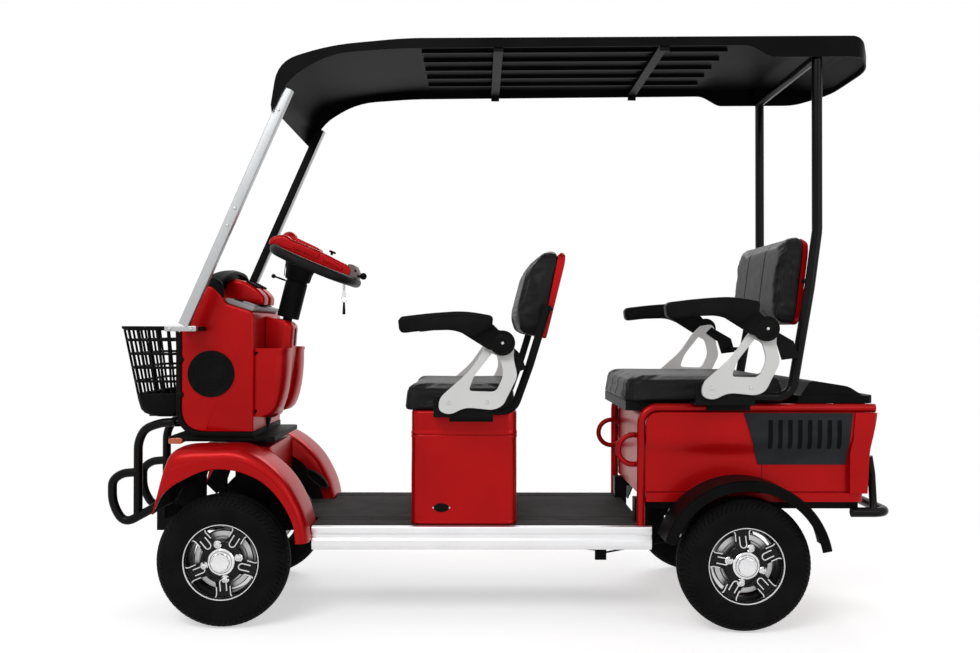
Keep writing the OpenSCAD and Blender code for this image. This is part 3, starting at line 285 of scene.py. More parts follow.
black_plastic = stipple("black_grained_plastic", (0.004, 0.004, 0.004), (0.008, 0.008, 0.008), 0.44)
grey_plastic = stipple("grey_moulded_plastic", (0.026, 0.027, 0.029), (0.034, 0.036, 0.038), 0.40)
arm_plastic = stipple("armrest_plastic", (0.005, 0.005, 0.005), (0.008, 0.008, 0.008), 0.40, 900.0)
mat_rubber = stipple("mat_rubber", (0.038, 0.037, 0.037), (0.056, 0.055, 0.055), 0.62, 700.0)
tyre_rubber = stipple("tyre_rubber", (0.004, 0.004, 0.004), (0.008, 0.008, 0.008), 0.58, 1100.0)
leather = hide("black_leather", (0.004, 0.004, 0.004), (0.010, 0.010, 0.010))
silver_plastic = stipple("silver_plastic", (0.36, 0.36, 0.37), (0.42, 0.42, 0.43), 0.30)
print("grains:", black_plastic.name, tyre_rubber.name, leather.name)

# %% [markdown]
# Bare metal shows how it was worked. Extruded rails and pillars have fine lines along their
# length, machined rims have turning marks, and chromed caps have almost none.

# %% Metals
def worked_metal(name, colour, rough, stretch, depth=0.00003, metal=1.0, coat=0.0, shine=0.5):
    """Metal whose noise is stretched by the given scale, which draws its brush lines."""
    f = Finish(name, Metallic=metal, Coat_Weight=coat, Specular_IOR_Level=shine)
    lines = f.noise(1.0, 3.0, 0.6, f.place(stretch))
    cloud = f.noise(9.0, 3.0)
    f.feed("Base Color", f.blend(cloud, colour, tuple(c * 0.86 for c in colour)))
    f.feed("Roughness", rough + 0.12 * lines)
    f.bump((lines, depth))
    return f.material


aluminium = worked_metal("brushed_aluminium", (0.84, 0.84, 0.85), 0.30, (8, 900, 900))
pillar_metal = worked_metal("pillar_aluminium", (0.46, 0.47, 0.48), 0.30, (60, 900, 60))
machined = worked_metal("machined_rim_edge", (0.74, 0.74, 0.75), 0.18, (500, 30, 500))
chrome = worked_metal("polished_chrome", (0.80, 0.80, 0.81), 0.05, (40, 40, 40), 0.00001)
zinc = worked_metal("zinc_bolts", (0.62, 0.62, 0.60), 0.30, (300, 300, 300))
dark_steel = worked_metal("dark_painted_steel", (0.008, 0.008, 0.008), 0.38, (60, 60, 60),
                          0.0001, 0.0, 0.0, 0.05)
rim_black = worked_metal("black_alloy_paint", (0.005, 0.005, 0.005), 0.26, (80, 80, 80), 0.00005,
                         0.0, 0.15, 0.1)
print("metals:", aluminium.name, machined.name, chrome.name)

# %% [markdown]
# A solid from the construction model has perfectly sharp edges, which no moulding or tube has. A
# copy of it is merged, its flat faces are joined again, and a narrow bevel rounds what is left, so
# that each edge catches a line of light. Curved faces are shaded smooth.

# %% Pieces
pieces = {}


def piece(name, mesh, material, body, replaced=(), slot=None):
    """A new object at the origin that rides on a body, with its material; its record slot is worked
    out but kept nowhere.
    """
    obj = bpy.data.objects.new(name, mesh)
    bpy.context.scene.collection.objects.link(obj)
    if not mesh.materials:
        for m in (material if isinstance(material, (list, tuple)) else [material]):
            mesh.materials.append(m)
    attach(obj, body)
    if replaced:
        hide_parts(*replaced)
        slot = slot or slot_of[replaced[0]]
    pieces[name] = obj
    return obj


slot_of = {s["node"]: s["material_slot"] for s in frame["record"]["subparts"]}


def smooth_by_angle(mesh, degrees=32.0):
    """Smooth faces, and sharp edges where two faces meet at more than the angle."""
    mesh.polygons.foreach_set("use_smooth", np.ones(len(mesh.polygons), bool))
    mesh.set_sharp_from_angle(angle=math.radians(degrees))


def rounded(node, material, bevel=1.2, segments=2, angle=32.0):
    """Copy of a solid with joined faces and bevelled edges; it stands for the solid."""
    import bmesh
    bm = bmesh.new()
    bm.from_mesh(nodes[node].data)
    bmesh.ops.remove_doubles(bm, verts=bm.verts, dist=0.00002)
    bmesh.ops.dissolve_limit(bm, angle_limit=math.radians(0.6), verts=bm.verts, edges=bm.edges)
    mesh = bpy.data.meshes.new(node + "_shape")
    bm.to_mesh(mesh)
    bm.free()
    smooth_by_angle(mesh, angle)
    obj = piece(node + "_made", mesh, material, body_of[node], (node,))
    if bevel:
        mod = obj.modifiers.new("edges", "BEVEL")
        mod.width = bevel * MM
        mod.segments = segments
        mod.limit_method = "ANGLE"
        mod.angle_limit = math.radians(angle)
        mod.harden_normals = True
        mod.use_clamp_overlap = True
    return obj


FINISH_OF = {
    "chassis_frame": (dark_steel, 1.0), "rear_axle": (dark_steel, 1.0),
    "floor_mat": (mat_rubber, 0.0), "side_rails": (aluminium, 1.0), "front_body": (red, 1.5),
    "cowl": (red, 1.5), "cowl_edging": (black_plastic, 1.5), "speakers": (black_plastic, 1.0),
    "dash_bezel": (silver_plastic, 1.5), "pockets": (red, 1.5), "hood": (black_plastic, 1.5),
    "basket": (black_plastic, 0.6), "front_bumper": (gloss_black, 0.0),
    "pillars": (pillar_metal, 2.0), "roof_shell": (shell_black, 1.5),
    "roof_panel": (grey_plastic, 1.0), "roof_straps": (dark_steel, 0.6),
    "roof_hoop": (gloss_black, 0.0), "seat_box": (red, 1.5), "rear_box": (red, 1.5),
    "box_frame": (red_tube, 0.0), "louvres": (grey_plastic, 0.4), "rear_corners": (red, 1.0),
    "rear_fenders": (shell_black, 1.2), "rear_bumper": (gloss_black, 0.0),
    "assist_rings": (red_tube, 0.0), "rear_cushion": (leather, 6.0),
    "rear_backrest": (leather, 6.0), "rear_back_shell": (red, 1.5),
    "rear_seat_frame": (dark_steel, 0.8), "rear_brackets": (white, 2.5),
    "rear_lid": (shell_black, 2.0), "seat_lid": (red, 1.5), "front_cushion": (leather, 6.0),
    "front_backrest": (leather, 6.0), "front_back_shell": (red, 1.5),
    "front_seat_frame": (dark_steel, 0.0), "front_brackets": (white, 2.5),
    "steering_column": (black_plastic, 0.8), "steering_head": (red, 3.0),
    "loop_handle": (gloss_black, 0.0), "signal_lever": (black_plastic, 0.0),
    "drive_lever": (black_plastic, 0.0), "speed_dial": (black_plastic, 0.8),
    "key": (chrome, 0.0), "knuckle_left": (dark_steel, 0.6), "knuckle_right": (dark_steel, 0.6),
    "tie_rod": (dark_steel, 0.0),
}
for end in ("front", "rear"):
    for side in ("left", "right"):
        FINISH_OF[f"armrest_{end}_{side}"] = (arm_plastic, 4.0)
        FINISH_OF[f"tyre_{end}_{side}"] = (tyre_rubber, 1.0)
        FINISH_OF[f"rim_{end}_{side}"] = (rim_black, 0.8)
print("finishes for", len(FINISH_OF), "solids")
remade = set()

# %% [markdown]
# Most new pieces are one of three things: a grid of points turned into quads, a profile turned
# about an axle, or a section carried along a path. The helpers below work them out as whole
# arrays, in millimetres counted from the front axle and the ground, and move them to the frame.

# %% Surfaces from arrays
def to_frame(points):
    """Millimetres from the front axle to metres in the frame."""
    return np.asarray(points, float) * MM + np.array([FRONT_AXLE, 0.0, 0.0])


def quads(rows, columns, wrap_rows=False, wrap_columns=False):
    """Faces of a grid: each cell (i, j) joins its four corners; wrapping joins last to first."""
    i = np.arange(rows if wrap_rows else rows - 1)[:, None]
    j = np.arange(columns if wrap_columns else columns - 1)[None, :]
    i2, j2 = (i + 1) % rows, (j + 1) % columns
    corners = [i * columns + j, i * columns + j2, i2 * columns + j2, i2 * columns + j]
    return np.stack([np.broadcast_to(c, (i.shape[0], j.shape[1])).ravel() for c in corners], 1)


class Parts:
    """Points and faces gathered from several surfaces, each with a material number."""

    def __init__(self):
        self.points, self.faces, self.tints = [], [], []
        self.count = 0

    def grid(self, points, wrap_rows=False, wrap_columns=False, tint=0, caps=False):
        """Adds a grid of shape (rows, columns, 3); caps closes its first and last row."""
        rows, columns = points.shape[:2]
        faces = quads(rows, columns, wrap_rows, wrap_columns) + self.count
        self.points.append(points.reshape(-1, 3))
        self.faces += faces.tolist()
        if caps:
            first = self.count + np.arange(columns)
            self.faces += [first[::-1].tolist(), (first + (rows - 1) * columns).tolist()]
        added = len(faces) + (2 if caps else 0)
        self.tints += [tint] * added
        self.count += rows * columns
        return self

    def mesh(self, name, materials, local=None, sharp=32.0, weld=0.00001):
        """Mesh in the frame; local turns the points from a piece's own axes to millimetres."""
        import bmesh
        points = np.concatenate(self.points)
        mesh = bpy.data.meshes.new(name)
        mesh.from_pydata(to_frame(local(points) if local else points), [], self.faces)
        for material in materials:
            mesh.materials.append(material)
        mesh.polygons.foreach_set("material_index", np.array(self.tints, np.int32))
        bm = bmesh.new()
        bm.from_mesh(mesh)
        bmesh.ops.remove_doubles(bm, verts=bm.verts, dist=weld)
        bmesh.ops.recalc_face_normals(bm, faces=bm.faces)
        bm.to_mesh(mesh)
        bm.free()
        smooth_by_angle(mesh, sharp)
        return mesh


def turned(profile, steps=96, start=0.0, sweep=2 * math.pi):
    """Profile of (radius, along) pairs turned about the axle: a point is at
    (radius cos t, along, radius sin t)."""
    profile = np.asarray(profile, float)
    t = start + np.arange(steps + (0 if sweep > 6.28 else 1)) * sweep / steps
    r, a = profile[:, 0], profile[:, 1]
    return np.stack([np.cos(t)[:, None] * r, np.broadcast_to(a, (len(t), len(r))),
                     np.sin(t)[:, None] * r], -1)


def curve_through(points, steps):
    """Catmull-Rom curve: a cubic through each pair of points, whose slopes come from the
    neighbours on both sides."""
    p = np.asarray(points, float)
    p = np.vstack([2 * p[0] - p[1], p, 2 * p[-1] - p[-2]])
    t = (np.arange(steps) / steps)[None, :, None]
    a, b, c, d = (p[k:len(p) - 3 + k][:, None] for k in range(4))
    body = 0.5 * (2 * b + (c - a) * t + (2 * a - 5 * b + 4 * c - d) * t ** 2
                  + (3 * b - a - 3 * c + d) * t ** 3)
    return np.vstack([body.reshape(-1, p.shape[1]), p[-2]])


def rounded_path(points, reach, steps=8):
    """Corners of a polyline replaced by quadratic arcs that begin a reach before each corner."""
    p = np.asarray(points, float)
    t = (np.arange(steps + 1) / steps)[:, None]
    out = [p[0][None]]
    for q0, q, q1 in zip(p[:-2], p[1:-1], p[2:]):
        before, after = q0 - q, q1 - q
        room = min(reach, 0.48 * np.linalg.norm(before), 0.48 * np.linalg.norm(after))
        a, b = (q + v / np.linalg.norm(v) * room for v in (before, after))
        out.append(a * (1 - t) ** 2 + q * 2 * t * (1 - t) + b * t ** 2)
    return np.vstack(out + [p[-1][None]])


def tube(path, radius, sides=20, closed=False, squash=1.0, up_hint=(0, 0, 1)):
    """Round section carried along a path: at each point a circle in the plane square to the path.
    The radius may change along it; the frame is turned as little as possible."""
    p = np.asarray(path, float)
    ahead = np.roll(p, -1, 0) - np.roll(p, 1, 0) if closed else np.gradient(p, axis=0)
    ahead /= np.linalg.norm(ahead, axis=1)[:, None]
    side = np.cross(up_hint, ahead[0])
    if np.linalg.norm(side) < 0.1:
        side = np.cross((1, 0, 0), ahead[0])
    sides_at = []
    for a in ahead:
        side = side - a * (side @ a)
        side = side / np.linalg.norm(side)
        sides_at.append(side)
    s = np.array(sides_at)
    n = np.cross(ahead, s)
    t = np.arange(sides) * 2 * math.pi / sides
    r = np.broadcast_to(np.asarray(radius, float), (len(p),))[:, None, None]
    return p[:, None] + r * (np.cos(t)[None, :, None] * s[:, None]
                             + squash * np.sin(t)[None, :, None] * n[:, None])


print("one cell of a grid:", quads(2, 2)[0])

# %% [markdown]
# The tyres are small, wide scooter tyres: a smooth sidewall, and a tread whose blocks run round the
# shoulder between wavy cross grooves. The section is a curve through a few measured points, and
# the tread is a height laid over it, so the grooves are real geometry.

# %% Tyres
TYRE_R = 192.0
AXLES = {"front": (0.0, 295.0), "rear": (1494.0, 338.0)}
section_half = curve_through([(103, 37.5), (108, 41), (113, 43.4), (122, 46.4), (135, 48.9),
                              (150, 49.6), (163, 47.2), (173, 42.4), (181, 35.2), (187, 25.6),
                              (190.3, 13.5), (191.3, 0)], 7)
section = np.vstack([section_half, (section_half * [1, -1])[::-1][1:]])
along = np.r_[0, np.cumsum(np.linalg.norm(np.diff(section, axis=0), axis=1))]
from_crown = along - along[len(section_half) - 1]
PITCHES = 72


def groove(distance, width):
    """1 at the middle of a groove and 0 beyond half its width, with a rounded edge."""
    return np.clip(1.5 - np.abs(distance) / (width / 2) * 1.0, 0, 1)


def tyre_surface(steps=PITCHES * 11):
    """The section turned about the axle, sunk by the grooves. A cross groove is where the angle,
    plus a wave in the distance from the crown, passes a whole pitch; ring grooves are where that
    distance passes fixed values."""
    t = np.arange(steps) * 2 * math.pi / steps
    d = np.abs(from_crown)[None, :]
    wave = 0.22 * np.sin(d / 5.2) + 0.010 * d * np.sign(from_crown)[None, :]
    phase = (t[:, None] / (2 * math.pi) * PITCHES + wave) % 1.0
    pitch = 2 * math.pi * 180 / PITCHES
    cross = groove((phase - 0.5) * pitch, 2.6) * (d > 13) * np.clip((62 - d) / 4, 0, 1)
    fine = groove(((phase + 0.5) % 1.0 - 0.5) * pitch, 1.5) * (d > 22) * np.clip((50 - d) / 4, 0, 1)
    rings = np.maximum(groove(d - 11, 4.0), np.maximum(groove(d - 31, 2.6), groove(d - 62, 1.6)))
    depth = np.maximum(np.maximum(cross * 2.6, fine * 1.2), rings * [2.8])
    normal = np.gradient(section, axis=0)
    normal = np.stack([normal[:, 1], -normal[:, 0]], 1)
    normal /= -np.linalg.norm(normal, axis=1)[:, None]
    wall = 0.35 * (groove(d - 74, 1.2) + groove(d - 77.5, 1.2) + groove(d - 96, 1.6))
    sunk = section[None] + normal[None] * -(depth - wall)[..., None]
    r, a = sunk[..., 0], sunk[..., 1]
    return np.stack([np.cos(t)[:, None] * r, a, np.sin(t)[:, None] * r], -1)


def wheel_place(end, side):
    """Turns a wheel's own axes, with the second pointing away from the scooter, to the frame."""
    x, y = AXLES[end]
    sign = -1.0 if side == "left" else 1.0
    return lambda p: p * [1, sign, 1] + [x, sign * y, TYRE_R]


tyre_points = tyre_surface()
for end in ("front", "rear"):
    for side in ("left", "right"):
        bead = turned([(103, 37.5), (100.5, 30), (100.5, -30), (103, -37.5)], 96)
        parts = Parts().grid(tyre_points, wrap_rows=True)
        parts.grid(bead, wrap_rows=True)
        node = f"tyre_{end}_{side}"
        piece(f"{node}_tread", parts.mesh(node, [tyre_rubber], wheel_place(end, side), 40.0),
              tyre_rubber, body_of[node], (node,))
        remade.add(node)
print("tyre section of", len(section), "points,", len(tyre_points), "steps round")

# %% [markdown]
# The rims are cast alloy, painted black, then machined bright on the lip and on the ridges of
# their twin spokes. Each spoke is a shallow channel: two ridges run out to the lip, and a narrower
# U joins the hub. Behind the spokes a bright brake drum shows. A chrome cap with lobes and lug nuts
# finish the hub.

# %% Rims
SPOKES = {"front": 58.3, "rear": 97.0}
LUGS = {"front": 13.0, "rear": -16.0}
LIP = [(98, -40), (111.4, -40), (112.4, -37), (111, -33), (104, -31), (99, -24), (96, -8),
       (96, 14), (98, 26), (101, 32.5)]
LIP_FACE = [(101, 32.5), (104.4, 37.6), (105.2, 40.0), (106.2, 41.2), (110.4, 41.2),
            (112.0, 39.6), (112.2, 37.6), (110.5, 35.0), (104, 33.2), (102, 26)]
LIP_BACK = [(102, 26), (99.5, 14), (99.5, -8), (101, -24), (98, -40)]


def box_sweep(path, half_width, top, bottom, crown=0.5):
    """Ridge along a flat path in the wheel's plane: a small section, flat on top with eased
    edges, square to the path. The path has (radial, across, height) rows."""
    p = np.asarray(path, float)
    ahead = np.gradient(p[:, :2], axis=0)
    ahead /= np.linalg.norm(ahead, axis=1)[:, None]
    out = np.stack([-ahead[:, 1], ahead[:, 0]], 1)
    w = np.array([-1, -1, -0.72, 0.72, 1, 1]) * half_width
    h = np.array([bottom, top - crown, top, top, top - crown, bottom])
    xy = p[:, None, :2] + out[:, None] * w[None, :, None]
    z = p[:, None, 2] + h[None]
    return np.concatenate([xy, z[..., None]], -1)


def spoke_height(r):
    """Outer face of a spoke: it stands highest at the lip and the hub, and dips between."""
    return 30.0 + 5.5 * ((np.asarray(r, float) - 74) / 30) ** 2


def radial(points, angle):
    """(radial, across, height) rows turned to a spoke's angle in the wheel's axes."""
    c, s = math.cos(angle), math.sin(angle)
    r, a, h = points[..., 0], points[..., 1], points[..., 2]
    return np.stack([r * c - a * s, h, r * s + a * c], -1)


def spoke_body(r0=44.0, r1=101.5, rows=22):
    """Channel section carried outwards: ridges at both edges, a sunken floor, and sides that
    flare by a quarter circle into hub and lip."""
    r = np.linspace(r0, r1, rows)
    flare = 7.0 * np.clip((r - 92) / 10, 0, 1) ** 2 + 12.0 * np.clip((60 - r) / 16, 0, 1) ** 2
    half = 22.0 + flare
    across = np.array([-1.0, -0.97, -0.86, -0.80, -0.5, 0, 0.5, 0.80, 0.86, 0.97, 1.0, 0.93, -0.93])
    height = np.array([-6.0, 0.0, 0.0, -4.6, -5.4, -5.6, -5.4, -4.6, 0.0, 0.0, -6.0, -17, -17])
    fade = np.clip((r - 50) / 14, 0, 1)[:, None]
    h = np.where(height > -5.9, height * fade, height)
    return np.stack([np.broadcast_to(r[:, None], (rows, len(across))), across * half[:, None],
                     spoke_height(r)[:, None] + h], -1)


def small_lathe(parts, profile, at, steps=24, tint=0, lobes=0, depth=0.0):
    """Profile turned about a line parallel to the axle through at = (x, z). Lobes make the
    radius swell and shrink that many times round."""
    p = turned(profile, steps)
    if lobes:
        t = np.arctan2(p[..., 2], p[..., 0])
        swell = 1 + depth * np.cos(lobes * t)[..., None]
        p = p * np.where([True, False, True], swell, 1)
    parts.grid(p + [at[0], 0, at[1]], wrap_rows=True, tint=tint)


def hexagon(parts, across, y0, y1, at, turn, tint):
    """Six-sided nut with chamfered end."""
    t = turn + np.arange(6) * math.pi / 3
    rings = [(0.0, y0), (across / 1.732, y0), (across / 1.732, y1 - 1.5), (across / 2.1, y1),
             (0.0, y1)]
    rows = np.stack([np.stack([at[0] + r * np.cos(t), np.full(6, y), at[1] + r * np.sin(t)], -1)
                     for r, y in rings])
    parts.grid(rows, wrap_columns=True, tint=tint)


def rim_parts(end):
    """All surfaces of one rim, in the wheel's axes. Materials: 0 black paint, 1 machined, 2 chrome,
    3 drum."""
    parts = Parts()
    parts.grid(turned(LIP, 128), wrap_rows=True, tint=0)
    parts.grid(turned(LIP_FACE, 128), wrap_rows=True, tint=1)
    parts.grid(turned(LIP_BACK, 128), wrap_rows=True, tint=0)
    for k in range(5):
        angle = math.radians(SPOKES[end] + 72 * k)
        parts.grid(radial(spoke_body(), angle), wrap_columns=True, caps=True)
        r = np.linspace(71, 104.2, 9)
        for sign in (-1, 1):
            across = sign * (19.8 + 6.3 * np.clip((r - 92) / 10, 0, 1) ** 2)
            line = np.stack([r, across, spoke_height(np.minimum(r, 103)) + 0.2], -1)
            parts.grid(radial(box_sweep(line, 1.6, 0.9, -3), angle), wrap_columns=True, tint=1,
                       caps=True)
        bow = np.linspace(-math.pi / 2, -3 * math.pi / 2, 11)
        legs = [np.stack([np.linspace(84, 60, 6), np.full(6, -9.0)], -1),
                np.stack([60 + 9 * np.cos(bow), 9 * np.sin(bow)], -1)[1:-1],
                np.stack([np.linspace(60, 84, 6), np.full(6, 9.0)], -1)]
        flat = np.vstack(legs)
        line = np.column_stack([flat, spoke_height(flat[:, 0]) + 0.2])
        parts.grid(radial(box_sweep(line, 1.7, 1.0, -6), angle), wrap_columns=True, tint=1,
                   caps=True)
    hub = [(0, 20), (30, 20), (30, 29.5), (38, 31.5), (47, 32), (57, 32), (60.5, 30), (62, 26),
           (62, 12), (56, 8), (0, 8)]
    parts.grid(turned(hub, 96), wrap_rows=True, tint=0)
    drum = [(0, -22), (84, -22), (86, -18), (86, 2), (83.5, 5), (70, 6), (67, 9), (0, 9)]
    parts.grid(turned(drum, 96), wrap_rows=True, tint=3)
    for k in range(4):
        angle = math.radians(LUGS[end] + 90 * k)
        at = (50.5 * math.cos(angle), 50.5 * math.sin(angle))
        small_lathe(parts, [(0, 31), (11, 31), (11.5, 32.4), (10.2, 33.4), (8.6, 33.6), (0, 33.6)],
                    at, 24, 2)
        hexagon(parts, 15.5, 33, 41.5, at, angle, 2)
        small_lathe(parts, [(0, 41), (4.4, 41), (4.4, 43.2), (3.2, 44), (0, 44)], at, 16, 3)
    small_lathe(parts, [(0, 31), (38.5, 31), (39.2, 33), (38.4, 36), (35.6, 38), (32.6, 38.2),
                        (31.4, 36.6), (30.6, 34.6), (0, 34.6)], (0, 0), 96, 2)
    small_lathe(parts, [(0, 34), (25.5, 34), (26.0, 36), (25.6, 43.6), (24.4, 45.4), (22.6, 46),
                        (18, 46.2), (0, 46.6)], (0, 0), 96, 2, lobes=8, depth=0.045)
    small_lathe(parts, [(0, 34), (30, 34), (30, 40), (28.8, 41), (26.6, 41), (25, 40), (0, 40)],
                (0, 0), 96, 2)
    return parts


drum_metal = worked_metal("bright_brake_drum", (0.55, 0.55, 0.56), 0.34, (300, 300, 300))
for end in ("front", "rear"):
    shape = rim_parts(end)
    for side in ("left", "right"):
        node = f"rim_{end}_{side}"
        mesh = shape.mesh(node, [rim_black, machined, chrome, drum_metal], wheel_place(end, side),
                          28.0)
        piece(f"{node}_alloy", mesh, rim_black, body_of[node], (node,))
        remade.add(node)
print("rim of", sum(len(p) for p in shape.points), "points")

# %% [markdown]
# A seat cushion is foam on a board under stretched leather: crowned on top, bulging at the sides,
# pulled in at the corners and flat where the board is. Cloth simulation gives this shape: the
# solid is remeshed evenly and blown up a little, while the side on the board is held. The seams
# and sewn channels are pressed in afterwards, along lines that follow the panel joints.

# %% Stuff a cushion
def normals(mesh):
    """Point normals of a mesh as an array."""
    out = np.empty(len(mesh.vertices) * 3)
    mesh.vertices.foreach_get("normal", out)
    return out.reshape(-1, 3)


def coordinates(mesh):
    """Points of a mesh as an array."""
    co = np.empty(len(mesh.vertices) * 3)
    mesh.vertices.foreach_get("co", co)
    return co.reshape(-1, 3)


def blown_up(node, axis, sign, shrink=5.0, pressure=4.0, cap=11.0, voxel=6.0):
    """Even mesh of the solid, a little smaller, under pressure with its board side held; then one
    subdivision. Moves longer than the cap are cut to it."""
    mesh = nodes[node].data.copy()
    co = coordinates(mesh)
    middle, half = (co.max(0) + co.min(0)) / 2, (co.max(0) - co.min(0)) / 2
    scale = 1 - shrink * MM / half
    scale[axis] = 1 - shrink * MM / (2 * half[axis])
    fixed = middle.copy()
    fixed[axis] = (co[:, axis] * sign).max() * sign
    mesh.vertices.foreach_set("co", (fixed + (co - fixed) * scale).ravel())
    obj = bpy.data.objects.new(node + "_foam", mesh)
    bpy.context.scene.collection.objects.link(obj)
    remesh = obj.modifiers.new("even", "REMESH")
    remesh.mode = "VOXEL"
    remesh.voxel_size = voxel * MM
    soften = obj.modifiers.new("soften", "SMOOTH")
    soften.iterations = 6
    obj = applied(obj)
    start = coordinates(obj.data)
    group = obj.vertex_groups.new(name="board")
    on_board = normals(obj.data)[:, axis] * sign > 0.75
    group.add(np.flatnonzero(on_board).tolist(), 1.0, "REPLACE")
    cloth = obj.modifiers.new("leather", "CLOTH")
    cloth.settings.vertex_group_mass = "board"
    cloth.settings.use_pressure = True
    cloth.settings.uniform_pressure_force = pressure
    cloth.settings.effector_weights.gravity = 0.0
    cloth.settings.tension_stiffness = cloth.settings.compression_stiffness = 18.0
    cloth.settings.bending_stiffness = 0.6
    cloth.point_cache.frame_end = 20
    for frame_number in range(1, 21):
        bpy.context.scene.frame_set(frame_number)
    obj = applied(obj)
    bpy.context.scene.frame_set(1)
    moved = coordinates(obj.data) - start
    length = np.linalg.norm(moved, axis=1)[:, None]
    moved *= np.minimum(1.0, cap * MM / np.maximum(length, 1e-9))
    obj.data.vertices.foreach_set("co", (start + moved).ravel())
    finer = obj.modifiers.new("finer", "SUBSURF")
    finer.levels = finer.render_levels = 1
    obj = applied(obj)
    return obj


def applied(obj):
    """The object with its modifiers made part of its mesh."""
    graph = bpy.context.evaluated_depsgraph_get()
    mesh = bpy.data.meshes.new_from_object(obj.evaluated_get(graph))
    obj.modifiers.clear()
    old, obj.data = obj.data, mesh
    bpy.data.meshes.remove(old)
    return obj


def crease(distance, width=3.2):
    """Depth of a sewn seam: a bell of the distance to its line."""
    return np.exp(-(np.asarray(distance) / (width * MM)) ** 2)


def press_seams(obj, depth_of, limits=None):
    """Moves each point against its normal by depth_of(points, normals), in metres, and keeps it
    between limits = (low, high) where they are given."""
    mesh = obj.data
    co = coordinates(mesh)
    normal = normals(mesh)
    co -= normal * depth_of(co, normal)[:, None]
    if limits is not None:
        co = np.clip(co, *limits)
    mesh.vertices.foreach_set("co", co.ravel())
    mesh.polygons.foreach_set("use_smooth", np.ones(len(mesh.polygons), bool))
    mesh.update()


def cushion(node, axis, sign, depth_of, fill=0.9, **how):
    """One stuffed piece in place of its solid."""
    foam = blown_up(node, axis, sign, **how)
    low, high = (np.array(c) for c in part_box(node))
    slack = np.full(3, 2 * MM)
    slack[axis] = 0.0 if sign > 0 else 6 * MM
    upper = high + slack
    slack[axis] = 6 * MM if sign > 0 else 0.0
    press_seams(foam, depth_of, (low - slack, upper))
    mesh = foam.data
    mesh.name = node + "_leather"
    mesh.materials.clear()
    bpy.data.objects.remove(foam)
    obj = piece(node + "_stuffed", mesh, leather, body_of[node], (node,))
    remade.add(node)
    print(node, "has", len(mesh.vertices), "points, box",
          [round(v, 3) for v in coordinates(mesh).max(0) - coordinates(mesh).min(0)])
    return obj


def seat_seams(panels, edge, node):
    """Panel joints run from front to rear at the given Y, over the top and front; an edge seam
    runs round the side, below the top by edge."""
    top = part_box(node)[1][2]

    def depth(p, n):
        facing = np.clip(np.maximum(n[:, 2], -n[:, 0]) * 2, 0, 1)
        joints = sum(crease(p[:, 1] - y * MM) for y in panels) * facing
        rim = crease(p[:, 2] - (top - edge * MM), 2.6) * np.clip(1.4 - np.abs(n[:, 2]) * 1.5, 0, 1)
        pucker = 0.10 * np.sin(p[:, 0] * 900 + np.sin(p[:, 1] * 700)) * rim
        return (2.6 * joints + 2.2 * rim + pucker) * MM

    return depth


cushion("front_cushion", 2, -1, seat_seams([], 15, "front_cushion"), cap=9.0)
cushion("rear_cushion", 2, -1, seat_seams([-168, -56, 56, 168], 16, "rear_cushion"), cap=9.0)


def rib_channels(node, pitch, count, reach):
    """Horizontal channels on the side that faces the driver, sewn at even heights."""
    low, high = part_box(node)
    middle = (low[2] + high[2]) / 2

    def depth(p, n):
        front = np.clip(-n[:, 0] * 3 - 0.6, 0, 1) * np.clip((reach * MM - np.abs(p[:, 1])) / 0.02,
                                                            0, 1)
        h = (p[:, 2] - middle) / (pitch * MM)
        near = np.abs(h) < count / 2 + 0.2
        wave = np.abs(((h + 0.5 * (count % 2)) % 1.0) - 0.5)
        line = np.exp(-((0.5 - wave) * pitch / 3.4) ** 2) * near
        sides = crease(np.abs(p[:, 1]) - reach * MM) * np.clip(-n[:, 0] * 2, 0, 1)
        return (2.6 * line * front + 1.8 * sides) * MM

    return depth


def back_seams(node, lines, rim):
    """Vertical seams on the front at the given Y, and a rim seam near the edge of the front."""
    low, high = (np.array(c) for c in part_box(node))

    def depth(p, n):
        front = np.clip(-n[:, 0] * 2, 0, 1)
        joints = sum(crease(p[:, 1] - y * MM) for y in lines) * front
        edge = np.minimum(high[1] - np.abs(p[:, 1]), np.minimum(high[2] - p[:, 2],
                                                                p[:, 2] - low[2]))
        return (2.4 * joints + 1.6 * crease(edge - rim * MM, 2.6) * front) * MM

    return depth


cushion("front_backrest", 0, 1, rib_channels("front_backrest", 17, 9, 200), cap=9.0)
cushion("rear_backrest", 0, 1, back_seams("rear_backrest", [-85, 85], 22), cap=9.0)

# %% [markdown]
# The front body is one moulding: two tall wheel bulges with rolled edges, and a lower panel between
# them. Its surface is worked out as stations along the wheel arch. Each station has three anchor
# points: the top of the bulge, the edge of the arch below it, and the middle panel. The section
# between them rolls over at the outside, drops at the inside, and is the same all along.

# %% Front body
BULGE_TOP = [(-192, 333), (-179, 392), (-160, 470), (-143, 505), (-110, 516.5), (-28, 518),
             (50, 516), (120, 484), (184, 425), (226, 352), (243, 300), (249, 262), (249.4, 247.4)]
ARCH_EDGE = [(-189, 331), (-181, 352), (-166, 382), (-142, 406), (-110, 426), (-40, 456),
             (30, 457), (92, 438), (140, 406), (180, 357), (207, 302), (213, 264), (214, 247.4)]
MIDDLE = [(-151, 392), (-151, 440), (-150, 470), (-140, 490), (-110, 497), (-28, 499), (60, 500),
          (91, 500), (100, 489), (102, 440), (103, 380), (103.6, 320), (103.8, 287)]


